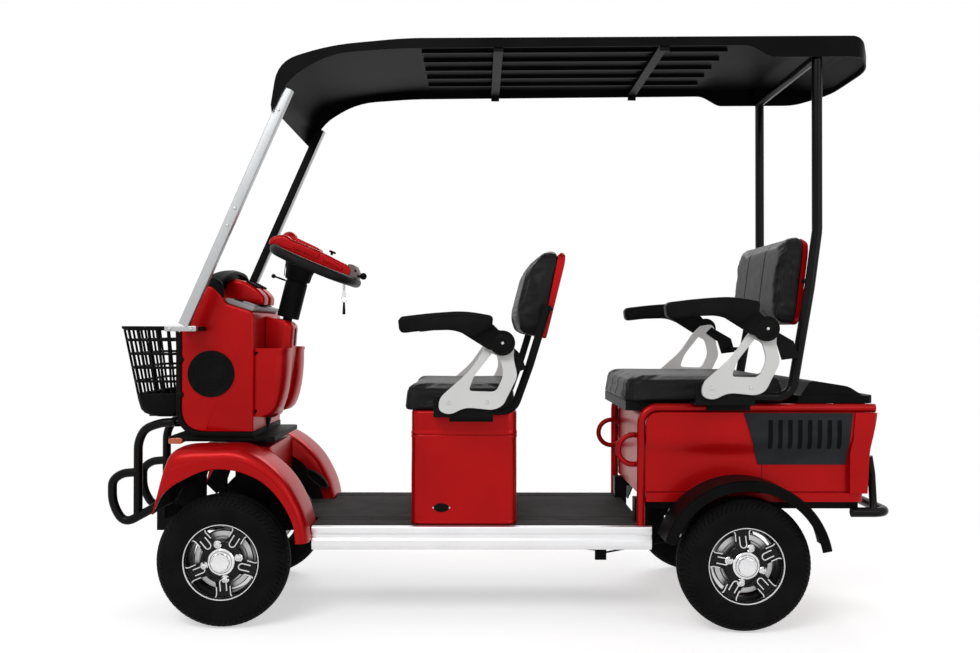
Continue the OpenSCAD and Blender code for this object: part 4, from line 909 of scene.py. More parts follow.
def front_body_grid():
    """Rows are stations; columns run from the lip of one arch over both bulges to the other. A
    column's place is top + (arch - top) * share, at a given Y, or a blend to the middle panel."""
    rows = 110
    top, arch, low = (curve_through(c, 9) for c in (BULGE_TOP, ARCH_EDGE, MIDDLE))
    top, arch, low = (np.stack([np.interp(np.linspace(0, 1, rows), np.linspace(0, 1, len(c)),
                                          c[:, k]) for k in (0, 1)], -1) for c in (top, arch, low))
    half = []
    for share, y in ((1.0, 336), (1.0, 347.6), (0.97, 349.4), (0.56, 349.6), (0.52, 349.0),
                     (0.50, 347.2), (0.46, 346.6), (0.34, 345.2), (0.22, 341.6), (0.12, 336),
                     (0.05, 328), (0.015, 318), (0.0, 304), (-0.012, 280), (-0.016, 255),
                     (-0.012, 228), (0.0, 206), (0.02, 194), (0.07, 184), (0.16, 177),
                     (0.30, 171.5)):
        xz = top + (arch - top) * share
        half.append(np.column_stack([xz[:, 0], np.full(rows, y), xz[:, 1]]))
    wall = top + (arch - top) * 0.30
    for share, y in ((0.5, 167), (0.86, 163), (0.97, 159), (1.0, 150), (1.0, 148.2), (1.0, 146.4),
                     (1.0, 120), (1.0, 60), (1.0, 0)):
        xz = wall + (low - wall) * share
        if y == 148.2:
            xz = xz - [0.0, 2.0]
        half.append(np.column_stack([xz[:, 0], np.full(rows, y), xz[:, 1]]))
    half = np.stack(half, 1)
    return np.concatenate([half * [1, -1, 1], half[:, ::-1][:, 1:]], 1)


def shell_piece(name, parts, materials, node, thickness, inner=1, sharp=30.0, slot=None):
    """Open surface given a wall by Solidify; the wall's inside takes its own material."""
    mesh = parts.mesh(name, materials, sharp=sharp)
    obj = piece(name, mesh, materials[0], body_of[node], (node,), slot)
    wall = obj.modifiers.new("wall", "SOLIDIFY")
    wall.thickness = thickness * MM
    wall.offset = -1.0
    wall.material_offset = inner
    wall.material_offset_rim = 0
    wall.use_even_offset = False
    remade.add(node)
    return obj


def outward(obj, toward):
    """Turns the mesh's faces if most of them look away from the given direction."""
    mesh = obj.data
    n = np.empty(len(mesh.polygons) * 3)
    mesh.polygons.foreach_get("normal", n)
    area = np.empty(len(mesh.polygons))
    mesh.polygons.foreach_get("area", area)
    if (n.reshape(-1, 3) @ np.array(toward, float) * area).sum() < 0:
        mesh.flip_normals()
    return obj


body_grid = front_body_grid()
front = shell_piece("front_moulding", Parts().grid(body_grid), [red, black_plastic], "front_body",
                    3.2)
outward(front, (0, 0, 1))
print("front body grid", body_grid.shape)

# %% Vents on the inner walls of the bulges
def on_wall(outline, depth, x0=190.0, z0=352.0, lean=-40.0):
    """Oval outline in its own plane laid on the inner wall of a bulge; depth is toward the
    middle of the scooter."""
    c, s = math.cos(math.radians(lean)), math.sin(math.radians(lean))
    x, z = outline[..., 0] * c - outline[..., 1] * s, outline[..., 0] * s + outline[..., 1] * c
    return np.stack([x0 + x, 150.0 - depth, z0 + z], -1)


def vent_parts():
    """Raised oval ring with a dished grille and slats in it, both near-black with painted shade for
    the dark inside of the vent.
    """
    parts = Parts()
    t = np.arange(48) * 2 * math.pi / 48
    ring = [(46, 17, -6), (46, 17, 3.0), (44.6, 15.6, 4.6), (41.6, 12.8, 4.6), (40.6, 11.8, 3.0),
            (40.6, 11.8, -6)]
    rows = np.stack([on_wall(np.stack([a * np.cos(t), b * np.sin(t)], -1), np.full(48, d))
                     for a, b, d in ring])
    parts.grid(rows, wrap_columns=True, tint=0)
    dish = [(41, 12.2, 0.6), (20, 6, 0.2), (0.01, 0.01, 0.0)]
    rows = np.stack([on_wall(np.stack([a * np.cos(t), b * np.sin(t)], -1), np.full(48, d))
                     for a, b, d in dish])
    parts.grid(rows, wrap_columns=True, tint=1)
    for x in np.linspace(-32, 32, 11):
        h = 11.4 * math.sqrt(1 - (x / 41) ** 2)
        slat = np.array([[[x - 1, -h], [x + 1, -h]], [[x - 1, h], [x + 1, h]]], float)
        d = np.array([[2.4, 2.4], [2.4, 2.4]])
        parts.grid(on_wall(slat, d), tint=1)
    return parts


# painted shade: a near-black finish laid in the vents' dishes and slats, the binnacle's openings,
# the panel's recesses, the pocket floors and behind the louvres, where the dark is shade inside
# them; it also colours the seat box plug and the screws on the head's grey block
painted_shade_and_black = stipple("painted_recess_shade_and_black", (0.006, 0.006, 0.006), (0.010, 0.010, 0.010), 0.7)
vents = vent_parts()
for side, sign in (("left", -1.0), ("right", 1.0)):
    mesh = vents.mesh(f"vent_{side}", [grey_plastic, painted_shade_and_black],
                      lambda p, sign=sign: p * [1, sign, 1])
    piece(f"bulge_vent_{side}", mesh, grey_plastic, "chassis", slot="grey_plastic")

# %% [markdown]
# Most panels are prisms with rounded edges: an outline pulled through the width of the part, that
# shrinks along a quarter circle at both ends. The outline moves inwards along its own normals, so
# the rounding has the same radius everywhere.

# %% Prisms with rounded edges
def easing(corners, steps=8):
    """Closed outline from corners (a, b, reach): each corner is a quadratic arc that starts a
    reach before it, or less where the edges are short."""
    c = [tuple(q) + (0.0,) * (3 - len(q)) for q in corners]
    t = (np.arange(steps + 1) / steps)[:, None]
    out = []
    for k, q in enumerate(c):
        here = np.array(q[:2])
        back, on = np.array(c[k - 1][:2]) - here, np.array(c[(k + 1) % len(c)][:2]) - here
        r = min(q[2], 0.49 * np.linalg.norm(back), 0.49 * np.linalg.norm(on))
        if r <= 0:
            out.append(here[None])
            continue
        a, b = here + back / np.linalg.norm(back) * r, here + on / np.linalg.norm(on) * r
        out.append(a * (1 - t) ** 2 + here * 2 * t * (1 - t) + b * t ** 2)
    return np.vstack(out)


def grown(outline, distance):
    """Closed outline moved outwards along its corner normals; it runs anticlockwise or is
    turned to."""
    p = np.asarray(outline, float)
    d = np.roll(p, -1, 0) - p
    area = 0.5 * np.sum(p[:, 0] * np.roll(p[:, 1], -1) - np.roll(p[:, 0], -1) * p[:, 1])
    u = d / np.maximum(np.linalg.norm(d, axis=1)[:, None], 1e-9)
    n = np.stack([u[:, 1], -u[:, 0]], -1) * np.sign(area)
    m = n + np.roll(n, 1, 0)
    m /= np.maximum((m * m).sum(1)[:, None] / 2, 0.5)
    q = p + m * distance
    # a point that came nearer to some edge than the distance has folded over: it moves onto the
    # line between its sound neighbours
    e = np.maximum((d * d).sum(1), 1e-12)
    t = np.clip(((q[:, None] - p) * d).sum(2) / e, 0, 1)
    gap = np.linalg.norm(q[:, None] - (p + t[..., None] * d), axis=2).min(1)
    sound = np.flatnonzero(gap > abs(distance) * 0.97)
    if 2 < len(sound) < len(q):
        k = np.arange(len(q))
        q = np.stack([np.interp(k, sound, q[sound, a], period=len(q)) for a in (0, 1)], -1)
    return q


def prism(parts, outline, low, high, edge=3.0, axis=1, tint=0, steps=4):
    """Outline (a, b) pulled from low to high along an axis, with both ends eased by a quarter
    circle of radius edge. For axis Y the outline is (x, z), for X (y, z), for Z (x, y)."""
    t = np.linspace(0, math.pi / 2, steps + 1)
    levels = [(low + edge * (1 - math.sin(q)), -edge * (1 - math.cos(q))) for q in t[::-1]]
    tops = [(high - edge * (1 - math.sin(q)), -edge * (1 - math.cos(q))) for q in t]
    rows = []
    for at, shift in levels + tops:
        p = grown(outline, shift) if shift else np.asarray(outline, float)
        fill = np.full(len(p), at)
        order = {0: (fill, p[:, 0], p[:, 1]), 1: (p[:, 0], fill, p[:, 1]),
                 2: (p[:, 0], p[:, 1], fill)}[axis]
        rows.append(np.stack(order, -1))
    parts.grid(np.stack(rows), wrap_columns=True, tint=tint, caps=True)
    return parts


print("square grown by 1:", grown([(0, 0), (2, 0), (2, 2), (0, 2)], 1.0)[0])

# %% [markdown]
# The cowl is a hollow moulding over the foot of the steering column. Its flat sides end in a broad
# rounded edge at the rear, a thin raised border runs along its top, and a black moulding wraps its
# front and its underside.

# %% Cowl
DECK = 285.0


def at_deck(corners):
    """Corners whose second number is a height above the deck, as heights above the ground."""
    return [(q[0], q[1] + DECK) + tuple(q[2:]) for q in corners]


COWL = at_deck([(-161, 564), (-161, 263, 74), (56, 263, 3), (56, 624, 16), (-30, 651, 12),
                (-39, 672, 10), (-66, 699, 8), (-84, 705, 5), (-155, 579, 4)])
cowl = Parts()
prism(cowl, easing(COWL, 10), -190, 190, edge=7.0, steps=6)
piece("cowl_panel", cowl.mesh("cowl", [red], sharp=40.0), red, "chassis", ("cowl",))
remade.add("cowl")

EDGING = [(-176, 564), (-176, 248, 90), (57, 248), (57, 262.7), (-161.3, 262.7, 74),
          (-161.3, 564)]
edging = Parts()
prism(edging, easing(at_deck(EDGING), 12), -192, 192, edge=2.0, steps=2)
for h in (375, 481):
    for sign in (-1, 1):
        prof = [(0.01, 0), (11, 0), (11.4, 2), (10, 5.4), (6, 7.4), (0.01, 8)]
        knob = turned(prof, 28)
        knob = knob * [1, sign, 1] + [-164, sign * 190, h + DECK]
        edging.grid(knob, wrap_rows=True, tint=0)
prism(edging, easing([(-205, -186, 20), (118, -186, 20), (118, 186, 20), (-205, 186, 20)]),
      DECK + 233.6, DECK + 247.6, edge=2.0, axis=2, steps=2)
piece("cowl_border", edging.mesh("edging", [black_plastic]), black_plastic, "chassis",
      ("cowl_edging",))
remade.add("cowl_edging")

# %% Lamps under the cowl
amber = Finish("amber_lens", Roughness=0.12, Coat_Weight=0.6, Transmission_Weight=0.0)
lens_lines = amber.noise(1.0, 1.0, 0.5, amber.place((700, 40, 40)))
amber.feed("Base Color", amber.blend(lens_lines, (0.55, 0.07, 0.008), (0.70, 0.13, 0.015)))
amber.bump((lens_lines, 0.0004))
lamps = Parts()
for sign in (-1, 1):
    outline = easing([(-199, 512, 5), (-158, 511, 8), (-156, 527, 6), (-170, 531, 6),
                      (-199, 528, 5)])
    low, high = sorted((sign * 150, sign * 189))
    prism(lamps, outline, low, high, edge=3.0, steps=3)
piece("turn_lamps", lamps.mesh("lamps", [amber.material]), amber.material, "chassis",
      slot="red_paint")
print("cowl, its border and its lamps made")


# %% [markdown]
# The steering head is a tapered box of several mouldings: a crown over the column, a raised cover,
# a long rear part that narrows, and a grey block at its end. The loop round it is a thick rubber
# tube. It passes through the head at the front and the rear.

# %% Steering head
def slab(parts, outline, half, middle=0.0, edge=3.0, tint=0, steps=4):
    """Prism across the scooter with its middle at a given Y."""
    return prism(parts, easing(outline), middle - half, middle + half, edge=edge, tint=tint,
                 steps=steps)


def screw(parts, x, y, z, radius=5.0, height=2.5, tint=0, toward=-1.0, sides=18):
    """Domed screw head that faces along Y."""
    prof = [(radius, 0), (radius, height * 0.5), (radius * 0.8, height), (0.01, height * 1.1)]
    parts.grid(turned(prof, sides) * [1, toward, 1] + [x, y, z], wrap_rows=True, tint=tint)


def ball(parts, at, radius, tint=0, flat=1.0):
    """Sphere of revolution about Z, flattened by a factor."""
    a = np.linspace(-math.pi / 2, math.pi / 2, 13)
    prof = np.column_stack([np.maximum(radius * np.cos(a), 0.01), radius * flat * np.sin(a)])
    g = turned(prof, 28)[..., [0, 2, 1]]
    parts.grid(g + np.array(at, float), wrap_rows=True, tint=tint)


head = Parts()
slab(head, [(66, 1128, 14), (98, 1112, 10), (150, 1088, 10), (158, 1118, 10), (140, 1148, 16),
            (110, 1160, 18), (76, 1148, 20)], 58, edge=12, steps=6)
slab(head, [(112, 1104, 8), (214, 1062, 10), (306, 1012, 10), (318, 1012, 8), (332, 1044, 12),
            (322, 1060, 10), (226, 1108, 8), (136, 1146, 16)], 54, edge=9, steps=5)
slab(head, [(128, 1146, 8), (222, 1106, 6), (226, 1112, 4), (219, 1119, 6), (138, 1157, 10)], 40,
     middle=8, edge=5)
slab(head, [(116, 1126, 6), (226, 1078, 6), (234, 1096, 6), (214, 1108, 8), (130, 1142, 10)], 57.5,
     edge=4)
slab(head, [(240, 1072, 6), (300, 1040, 8), (308, 1054, 8), (246, 1090, 8)], 56.5, edge=4)
slab(head, [(312, 1009, 4), (336, 1007, 5), (352, 1032, 8), (340, 1062, 7), (320, 1066, 5)], 50,
     edge=3, tint=1)
ball(head, (118, 34, 1149), 27, flat=0.98)
for x, z in ((324, 1046), (343, 1043)):
    screw(head, x, -50, z, 3.6, 1.4, 2)
silver_block = stipple("grey_block_plastic", (0.20, 0.16, 0.16), (0.25, 0.20, 0.20), 0.34)
piece("head_mouldings", head.mesh("head_mouldings", [red, silver_block, painted_shade_and_black], sharp=36.0),
      red, "steering", ("steering_head",))
remade.add("steering_head")

# %% Loop, column and levers
def loop_path(points=96, centre=(212.0, 1062.0), half=(133.0, 154.0), tilt=23.0):
    """Rounded rectangle, a superellipse of power 3, in a plane that falls towards the rear; its
    sides sag a little below that plane."""
    t = np.arange(points) * 2 * math.pi / points
    c, s = np.cos(t), np.sin(t)
    power = 2 / 3.0
    u = half[0] * np.sign(c) * np.abs(c) ** power
    v = half[1] * np.sign(s) * np.abs(s) ** power
    sag = -7.0 * (np.abs(v) / half[1]) ** 2
    k = math.radians(tilt)
    return np.column_stack([centre[0] + u * math.cos(k) + sag * math.sin(k), v,
                            centre[1] - u * math.sin(k) + sag * math.cos(k)])


loop_rubber = stipple("loop_rubber", (0.012, 0.012, 0.013), (0.018, 0.018, 0.019), 0.36, 1200.0,
                      0.00003)
loop = Parts()
loop.grid(tube(loop_path(), 15.6, 24, closed=True), wrap_rows=True, wrap_columns=True)
piece("loop_grip", loop.mesh("loop_grip", [loop_rubber]), loop_rubber, "steering",
      ("loop_handle",))
remade.add("loop_handle")

LEAN = math.radians(13.9)


def up_column(points):
    """Points in the column's axes, Z along it from a point 894 above the ground, to the frame."""
    p = np.asarray(points, float)
    return np.stack([120 + p[..., 0] * math.cos(LEAN) + p[..., 2] * math.sin(LEAN), p[..., 1],
                     894 - p[..., 0] * math.sin(LEAN) + p[..., 2] * math.cos(LEAN)], -1)


column = Parts()
prof = [(34, 1), (35, 4), (35, 116), (33, 118), (33, 122), (39, 124), (40.5, 128), (43, 150),
        (50, 172), (52, 186)]
column.grid(up_column(turned(prof, 56)[..., [0, 2, 1]]), wrap_rows=True, caps=False)
column.grid(up_column(turned([(15, -374), (15, 3), (34, 3)], 28)[..., [0, 2, 1]]), wrap_rows=True)
for turn_at in (200.0, 340.0):
    c, s = math.cos(math.radians(turn_at)), math.sin(math.radians(turn_at))
    rib = np.array([[[44 * c - 1.2, 44 * s, 128], [50 * c, 50 * s, 166]],
                    [[44 * c + 1.6, 44 * s, 128], [50 * c + 2.4, 50 * s, 166]]])
    column.grid(up_column(rib))
piece("column_cover", column.mesh("column_cover", [black_plastic]), black_plastic, "steering",
      ("steering_column",))
remade.add("steering_column")

knob = Parts()
slope = math.atan2(50, 126)
g = turned([(4, 0.4), (4, 7), (10.4, 7.2), (11, 8.2), (11, 12.8), (10, 14), (0.01, 14)],
           30)[..., [0, 2, 1]]
wave = 1 + 0.03 * np.cos(10 * np.arctan2(g[..., 1], g[..., 0]))
g = g * np.stack([wave, wave, np.ones_like(wave)], -1)
g = np.stack([262 + g[..., 0] * math.cos(slope) + g[..., 2] * math.sin(slope), g[..., 1] - 20,
              1094.8 - g[..., 0] * math.sin(slope) + g[..., 2] * math.cos(slope)], -1)
knob.grid(g, wrap_rows=True)
piece("speed_knob", knob.mesh("speed_knob", [black_plastic]), black_plastic, "speed_dial",
      ("speed_dial",))
remade.add("speed_dial")

# %% [markdown]
# Behind the windscreen posts a thin black visor arches over the instruments. Under it sit a red
# binnacle whose openings are near-black with painted shade, and a grey panel with a latch and a
# recess, also near-black with painted shade.

# %% Visor, binnacle and panel
visor = Parts()
y = np.linspace(-1, 1, 33)
arch = 1 - np.abs(y) ** 2.6
front_edge = np.stack([-108 + 26 * arch, 186 * y, 963 + 26 * arch + 0 * y], -1)
crest = np.stack([-92 + 34 * arch, 183 * y, 1014 + 30 * arch], -1)
rear_edge = np.stack([-46 + 14 * arch, 178 * y, 1004 + 36 * arch], -1)
rear_low = np.stack([-44 + 12 * arch, 177 * y, 998 + 34 * arch], -1)
inner = np.stack([-84 + 32 * arch, 176 * y, 1004 + 30 * arch], -1)
inner_low = np.stack([-98 + 26 * arch, 178 * y, 962 + 24 * arch], -1)
rows = np.stack([front_edge, 0.5 * (front_edge + crest) + [-6, 0, 4], crest,
                 0.5 * (crest + rear_edge) + [0, 0, 3], rear_edge, rear_low,
                 0.5 * (rear_low + inner), inner, inner_low])
visor.grid(rows, wrap_rows=True)
for sign in (-1, 1):
    prism(visor, easing([(-104, 962, 6), (-46, 953.8, 4), (-34, 954, 4), (-40, 1000, 10),
                         (-60, 1012, 14), (-92, 1008, 14)]), *sorted((sign * 174, sign * 186)),
          edge=2.0)
piece("visor", visor.mesh("visor", [black_plastic]), black_plastic, "chassis", ("hood",))
remade.add("hood")

binnacle = Parts()
for middle, half in ((-46, 34), (46, 34)):
    slab(binnacle, [(-58, 950, 8), (-62, 996, 16), (-40, 1016, 18), (0, 1010, 20), (44, 982, 16),
                    (62, 960, 10), (60, 934, 6), (20, 936, 6)], half, middle, edge=12, steps=5)
slab(binnacle, [(-60, 950, 8), (-58, 990, 12), (-30, 998, 14), (40, 968, 12), (50, 934, 6)], 30,
     edge=3)
# painted shade: near-black openings in the two lobes of the binnacle
for middle in (-46, 46):
    slab(binnacle, [(-6, 1000, 6), (30, 986, 6), (40, 992, 5), (6, 1010, 5)], 24, middle, edge=2,
         tint=1)
binnacle_mesh = binnacle.mesh("binnacle", [red, painted_shade_and_black], sharp=36.0)
piece("binnacle", binnacle_mesh, red, "chassis", slot="red_paint")

panel = Parts()
slab(panel, [(-22, 934.6, 2), (48, 912.6, 2), (55, 917, 3), (56, 925, 5), (-28, 953, 8),
             (-34, 949, 3), (-32, 943, 2)], 176, edge=2.5, steps=3)
# painted shade: near-black recesses in the panel
slab(panel, [(-14, 948.8), (36, 932.6), (36, 934.6), (-14, 950.8)], 34, -110, 0.8, tint=1)
slab(panel, [(-14, 948.8), (36, 932.6), (36, 934.6), (-14, 950.8)], 34, 110, 0.8, tint=1)
slab(panel, [(14, 938, 3), (52, 926, 3), (58, 930, 4), (20, 944, 4)], 14, -150, 2)
piece("dash_panel", panel.mesh("dash_panel", [silver_plastic, painted_shade_and_black]), silver_plastic,
      "chassis", ("dash_bezel",))
remade.add("dash_bezel")

# %% [markdown]
# The driver's side of the cowl carries two bulging pockets on both sides of the column's housing.
# A pocket is a loft: at each height a rounded outline in plan, whose depth follows the bulge.

# %% Pockets
def pocket_rows(heights, depths, y0, y1, power=3.2, points=40):
    """At each height, half a superellipse that stands off the rear wall of the cowl: its depth is
    given, and it is as broad as the pocket."""
    t = np.linspace(0, math.pi, points)
    c, s = np.cos(t), np.sin(t)
    mid, half = 0.5 * (y0 + y1), 0.5 * (y1 - y0)
    across = mid - half * np.sign(c) * np.abs(c) ** (2 / power)
    out = np.abs(s) ** (2 / power)
    return np.stack([np.stack([56.4 + d * out, across, np.full(points, z)], -1)
                     for z, d in zip(heights, depths)])


pockets = Parts()
for sign in (-1, 1):
    y0, y1 = sorted((sign * 172, sign * 30))
    z = np.array([592, 596, 606, 622, 645, 675, 705, 735, 765, 786, 792, 797, 800, 800, 797, 786,
                  700, 606])
    d = np.array([40, 54, 64, 72, 79.5, 86, 90, 92.6, 93.6, 93.6, 95.6, 96.4, 95.4, 90, 88, 87, 84,
                  50])
    pockets.grid(pocket_rows(z, d, y0, y1))
    t = np.linspace(0, 1, 2)[:, None, None]
    low = pocket_rows([592], [40], y0, y1)[0]
    base = low * [0, 1, 1] + [56.4, 0, 0]
    pockets.grid(np.stack([base, low]))
    # painted shade: a near-black floor low in each pocket for the shade inside it
    floor_ring = pocket_rows([612], [52], y0, y1)[0]
    pockets.grid(np.stack([floor_ring, floor_ring * [0, 1, 1] + [56.4, 0, 0]]), tint=1)
slab(pockets, [(56.4, 576, 4), (96, 578, 20), (128, 700, 40), (140, 790, 20), (146, 868, 20),
               (132, 884, 14), (56.4, 900, 4)], 48, edge=16, steps=6)
# painted shade: a near-black slot in the housing
slab(pockets, [(132, 800, 4), (143, 806, 3), (147, 860, 3), (136, 866, 3)], 10, edge=2, tint=1)
piece("rear_pockets", pockets.mesh("rear_pockets", [red, painted_shade_and_black], sharp=40.0), red,
      "chassis", ("pockets",))
remade.add("pockets")

# %% [markdown]
# The basket is injection moulded: hoops and uprights of a rounded section, a solid tub below, and
# a flange all round the top. Its outline tapers towards the bottom, so every hoop has its own size.

# %% Basket
def basket_plan(z, shrink=0.0, corner=34.0, steps=6):
    """Closed rounded outline of the basket at a height, from the rear left corner round."""
    t = (z - 589.0) / 277.0
    half = 150 + 36 * t - shrink
    front_x = np.interp(z, [586, 600, 616, 866], [-276, -296, -306, -349]) + shrink
    back = -184 - shrink
    return easing([(back, -half, 10), (front_x, -half, corner), (front_x, half, corner),
                   (back, half, 10)], steps)


def hoop(parts, z, r=4.2, squash=1.0, shrink=4.0):
    """Closed bar round the basket at a height."""
    p = basket_plan(z, shrink)
    path = np.column_stack([p, np.full(len(p), z)])
    parts.grid(tube(path, r, 10, closed=True, squash=squash), wrap_rows=True, wrap_columns=True)


basket = Parts()
for z in (698, 740, 782, 824):
    hoop(basket, z)
hoop(basket, 656, 5.0)
flange = [(z, s) for z, s in ((853, 4), (858, -1), (862.5, -2), (865.6, -1), (866, 3), (866, 13),
                              (864, 15), (860, 14), (858, 7), (853, 7.6))]
basket.grid(np.stack([np.column_stack([basket_plan(z, s), np.full(len(basket_plan(z, s)), z)])
                      for z, s in flange]), wrap_rows=True, wrap_columns=True)
tub = [(656, 0), (636, 0), (612, 0.5), (600, 3), (592, 9), (588.6, 18), (588, 30), (592, 30),
       (596, 18), (602, 10), (612, 5), (636, 4.5), (656, 4.5)]
basket.grid(np.stack([np.column_stack([basket_plan(z, s), np.full(len(basket_plan(z, s)), z)])
                      for z, s in tub]), wrap_columns=True)
slab(basket, [(-280, 589), (-206, 589), (-206, 593), (-280, 593)], 122, edge=0.8)
for share in np.linspace(-0.84, 0.84, 10):
    path = [[np.interp(z, [616, 866], [-306, -349]) + 4, share * (150 + 36 * (z - 589) / 277), z]
            for z in np.linspace(640, 858, 6)]
    basket.grid(tube(path, 3.8, 10))
for sign in (-1, 1):
    for share in np.linspace(0.1, 0.86, 5):
        path = [[np.interp(z, [616, 866], [-302, -345]) * share - 188 * (1 - share),
                 sign * (146 + 36 * (z - 589) / 277), z] for z in np.linspace(640, 858, 6)]
        basket.grid(tube(path, 3.8, 10))
for share in np.linspace(-0.8, 0.8, 8):
    path = [[-188, share * (150 + 36 * (z - 589) / 277), z] for z in np.linspace(640, 858, 4)]
    basket.grid(tube(path, 3.8, 10))
piece("basket_lattice", basket.mesh("basket_lattice", [black_plastic], sharp=50.0), black_plastic,
      "chassis", ("basket",))
remade.add("basket")
print("head, loop, visor, pockets and basket made")

# %% [markdown]
# The roof stands on two aluminium box sections. A black strip covers the inner face of each, and a
# foot bolts it to the cowl. The bumper below has two bent tubes a side, with wide bends.

# %% Pillars and bumper
FOOT, HEAD = np.array([-124.0, 869.0]), np.array([178.0, 1558.0])


def along_pillar(section, middle, sign):
    """Closed section of (across, Y) pairs carried from the pillar's foot to its head; across is
    square to the pillar in the side view."""
    u = (HEAD - FOOT) / np.linalg.norm(HEAD - FOOT)
    n = np.array([-u[1], u[0]])
    s = np.asarray(section, float)
    rows = []
    for end in (FOOT, HEAD):
        xz = end + s[:, :1] * n
        rows.append(np.column_stack([xz[:, 0], sign * (middle + s[:, 1]), xz[:, 1]]))
    return np.stack(rows)


posts = Parts()
for sign in (-1, 1):
    box = easing([(-14.5, -12.5, 4), (14.5, -12.5, 4), (14.5, 12.5, 4), (-14.5, 12.5, 4)], 4)
    posts.grid(along_pillar(box, 279.5, sign), wrap_columns=True, caps=True)
    # a black strip along the inner face of each pillar
    inner_black_strip = easing([(-11, -13.4, 1), (14.9, -13.4, 1), (14.9, -10, 1), (-11, -10, 1)], 3)
    posts.grid(along_pillar(inner_black_strip, 279.5, sign), wrap_columns=True, caps=True, tint=1)
    slab(posts, [(-178, 851, 3), (-86, 851, 3), (-86, 867, 3), (-178, 867, 3)], 11, sign * 279.5, 2)
    slab(posts, [(-150, 852, 3), (-84, 852, 3), (-84, 865, 3), (-150, 865, 3)], 37, sign * 230, 2,
         tint=1)
    for z in (1160, 1210, 1496):
        x = FOOT[0] + (z - FOOT[1]) * (HEAD[0] - FOOT[0]) / (HEAD[1] - FOOT[1])
        screw(posts, x, sign * 292, z, 5, 3, 2, sign)
    for x in (-162, -100):
        screw(posts, x, sign * 290.5, 859, 5, 3, 2, sign)
piece("roof_posts", posts.mesh("roof_posts", [pillar_metal, black_plastic, zinc]), pillar_metal,
      "chassis", ("pillars",))
remade.add("pillars")

bars = Parts()
for y in (-130.0, 130.0):
    post = [(-310, y, 280), (-310, y, 510), (-290, y, 552), (-235, y, 571), (-182, y, 571)]
    hook = [(-304, y, 419), (-360, y, 414), (-388.5, y, 392), (-388.5, y, 322), (-352, y, 259),
            (-257, y, 311)]
    for path, reach in ((post, 40), (hook, 38)):
        bars.grid(tube(rounded_path(path, reach, 9), 13.4, 24), wrap_columns=True, caps=True)
for x, z, half, r in ((-240, 568, 140, 7), (-196, 571, 170, 8)):
    bars.grid(tube([(x, -half, z), (x, 0, z), (x, half, z)], r, 20, up_hint=(1, 0, 0)),
              wrap_columns=True, caps=True)
piece("bumper_tubes", bars.mesh("bumper_tubes", [gloss_black], sharp=50.0), gloss_black,
      "chassis", ("front_bumper",))
remade.add("front_bumper")

# %% Liners inside the front arches and speaker screws
liner = Parts()
for sign in (-1, 1):
    for outline in ([(-6, 262), (213, 262), (206, 302), (180, 356), (140, 405), (92, 437),
                     (40, 470), (-6, 470)],
                    [(-186, 335), (-150, 300), (-120, 330), (-84, 436), (-60, 470), (-118, 470),
                     (-150, 400)]):
        prism(liner, np.array(outline, float), *sorted((sign * 153, sign * 155.5)), edge=0.5)
    for a in (45, 135, 225, 315):
        k = math.radians(a)
        screw(liner, -70 + 62 * math.cos(k), sign * 195, 723 + 62 * math.sin(k), 2.6, 1.6, 1, sign)
piece("arch_liners", liner.mesh("arch_liners", [black_plastic, zinc]), black_plastic, "chassis",
      slot="black_plastic")

# %% [markdown]
# The seat box is a pressed shell: generous vertical corners, a rolled foot and a lid that sits over
# it with a fine seam. Each is a loft of one outline that grows or shrinks from level to level,
# and it turns back down inside, because the box and its lid are hollow.

# %% Seat box
def loft(parts, outline, levels, tint=0, caps=True):
    """Plan outline repeated at each (height, growth)."""
    o = np.asarray(outline, float)
    rows = [np.column_stack([grown(o, g) if g else o, np.full(len(o), z)]) for z, g in levels]
    parts.grid(np.stack(rows), wrap_columns=True, tint=tint, caps=caps)


SEAT_PLAN = easing([(536, -262, 36), (848, -262, 36), (848, 262, 36), (536, 262, 36)], 10)
lid_top = (float(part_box("seat_lid")[1][2])) / MM
shell = Parts()
loft(shell, SEAT_PLAN, [(285.3, 0), (287, 1.6), (292, 1.8), (295, 0.4), (299, 0), (420, 0.6),
                        (538, 0), (541, 1.4), (545, 1.6), (547.4, 0.4), (547.8, -3),
                        (546, -4), (300, -4), (296, -8)])
for sign in (-1, 1):
    t = np.arange(40) * 2 * math.pi / 40
    ring = [np.column_stack([626 + a * np.cos(t), np.full(40, sign * (262 + h)),
                             335 + b * np.sin(t)])
            for a, b, h in ((22, 13, -1), (22, 13, 1.6), (21, 12, 2.4), (12, 6, 2.6),
                            (0.1, 0.1, 2.7))]
    shell.grid(np.stack(ring), wrap_columns=True, tint=1)
    for x in (602, 650):
        screw(shell, x, sign * 262, 335, 2.8, 1.6, 2, sign)
piece("seat_box_shell", shell.mesh("seat_box_shell", [red, painted_shade_and_black, zinc], sharp=50.0), red,
      "chassis", ("seat_box",))
remade.add("seat_box")
cover = Parts()
loft(cover, SEAT_PLAN, [(lid_top - 6, -9), (lid_top - 8, -5), (549, -5), (548.6, -3),
                        (548.8, 0.2), (550, 1.5), (556, 1.6), (559, 0.2), (566, 0),
                        (lid_top - 6, 0), (lid_top - 2, -1.2), (lid_top, -4)])
piece("seat_lid_cover", cover.mesh("seat_lid_cover", [red], sharp=50.0), red, "front_seat",
      ("seat_lid",))
remade.add("seat_lid")
print("lid top at", round(lid_top, 1))

# %% [markdown]
# Each armrest has a soft moulded pad on a thinner arm, and turns on a disc with a bolt in it.

# %% Armrests and brackets
PAD = [(-28, 598, 0), (-24, 562, 18), (40, 570, 20), (130, 573, 30), (178, 552, 16), (236, 582, 6),
       (240, 613, 14), (160, 627, 60), (60, 620, 60), (-20, 610, 16)]
ARM = [(118, 584, 4), (176, 548, 20), (232, 513, 20), (284, 520, 14), (262, 566, 14), (238, 590, 4)]


# corner of each seat's box, and where its armrests turn from there
SEATS = {"front": (536, 285), "rear": (1289, 328)}
PIVOT = (266, 536)
BRACKET_FACE = 345.3
DISC_HEIGHT = 23.4


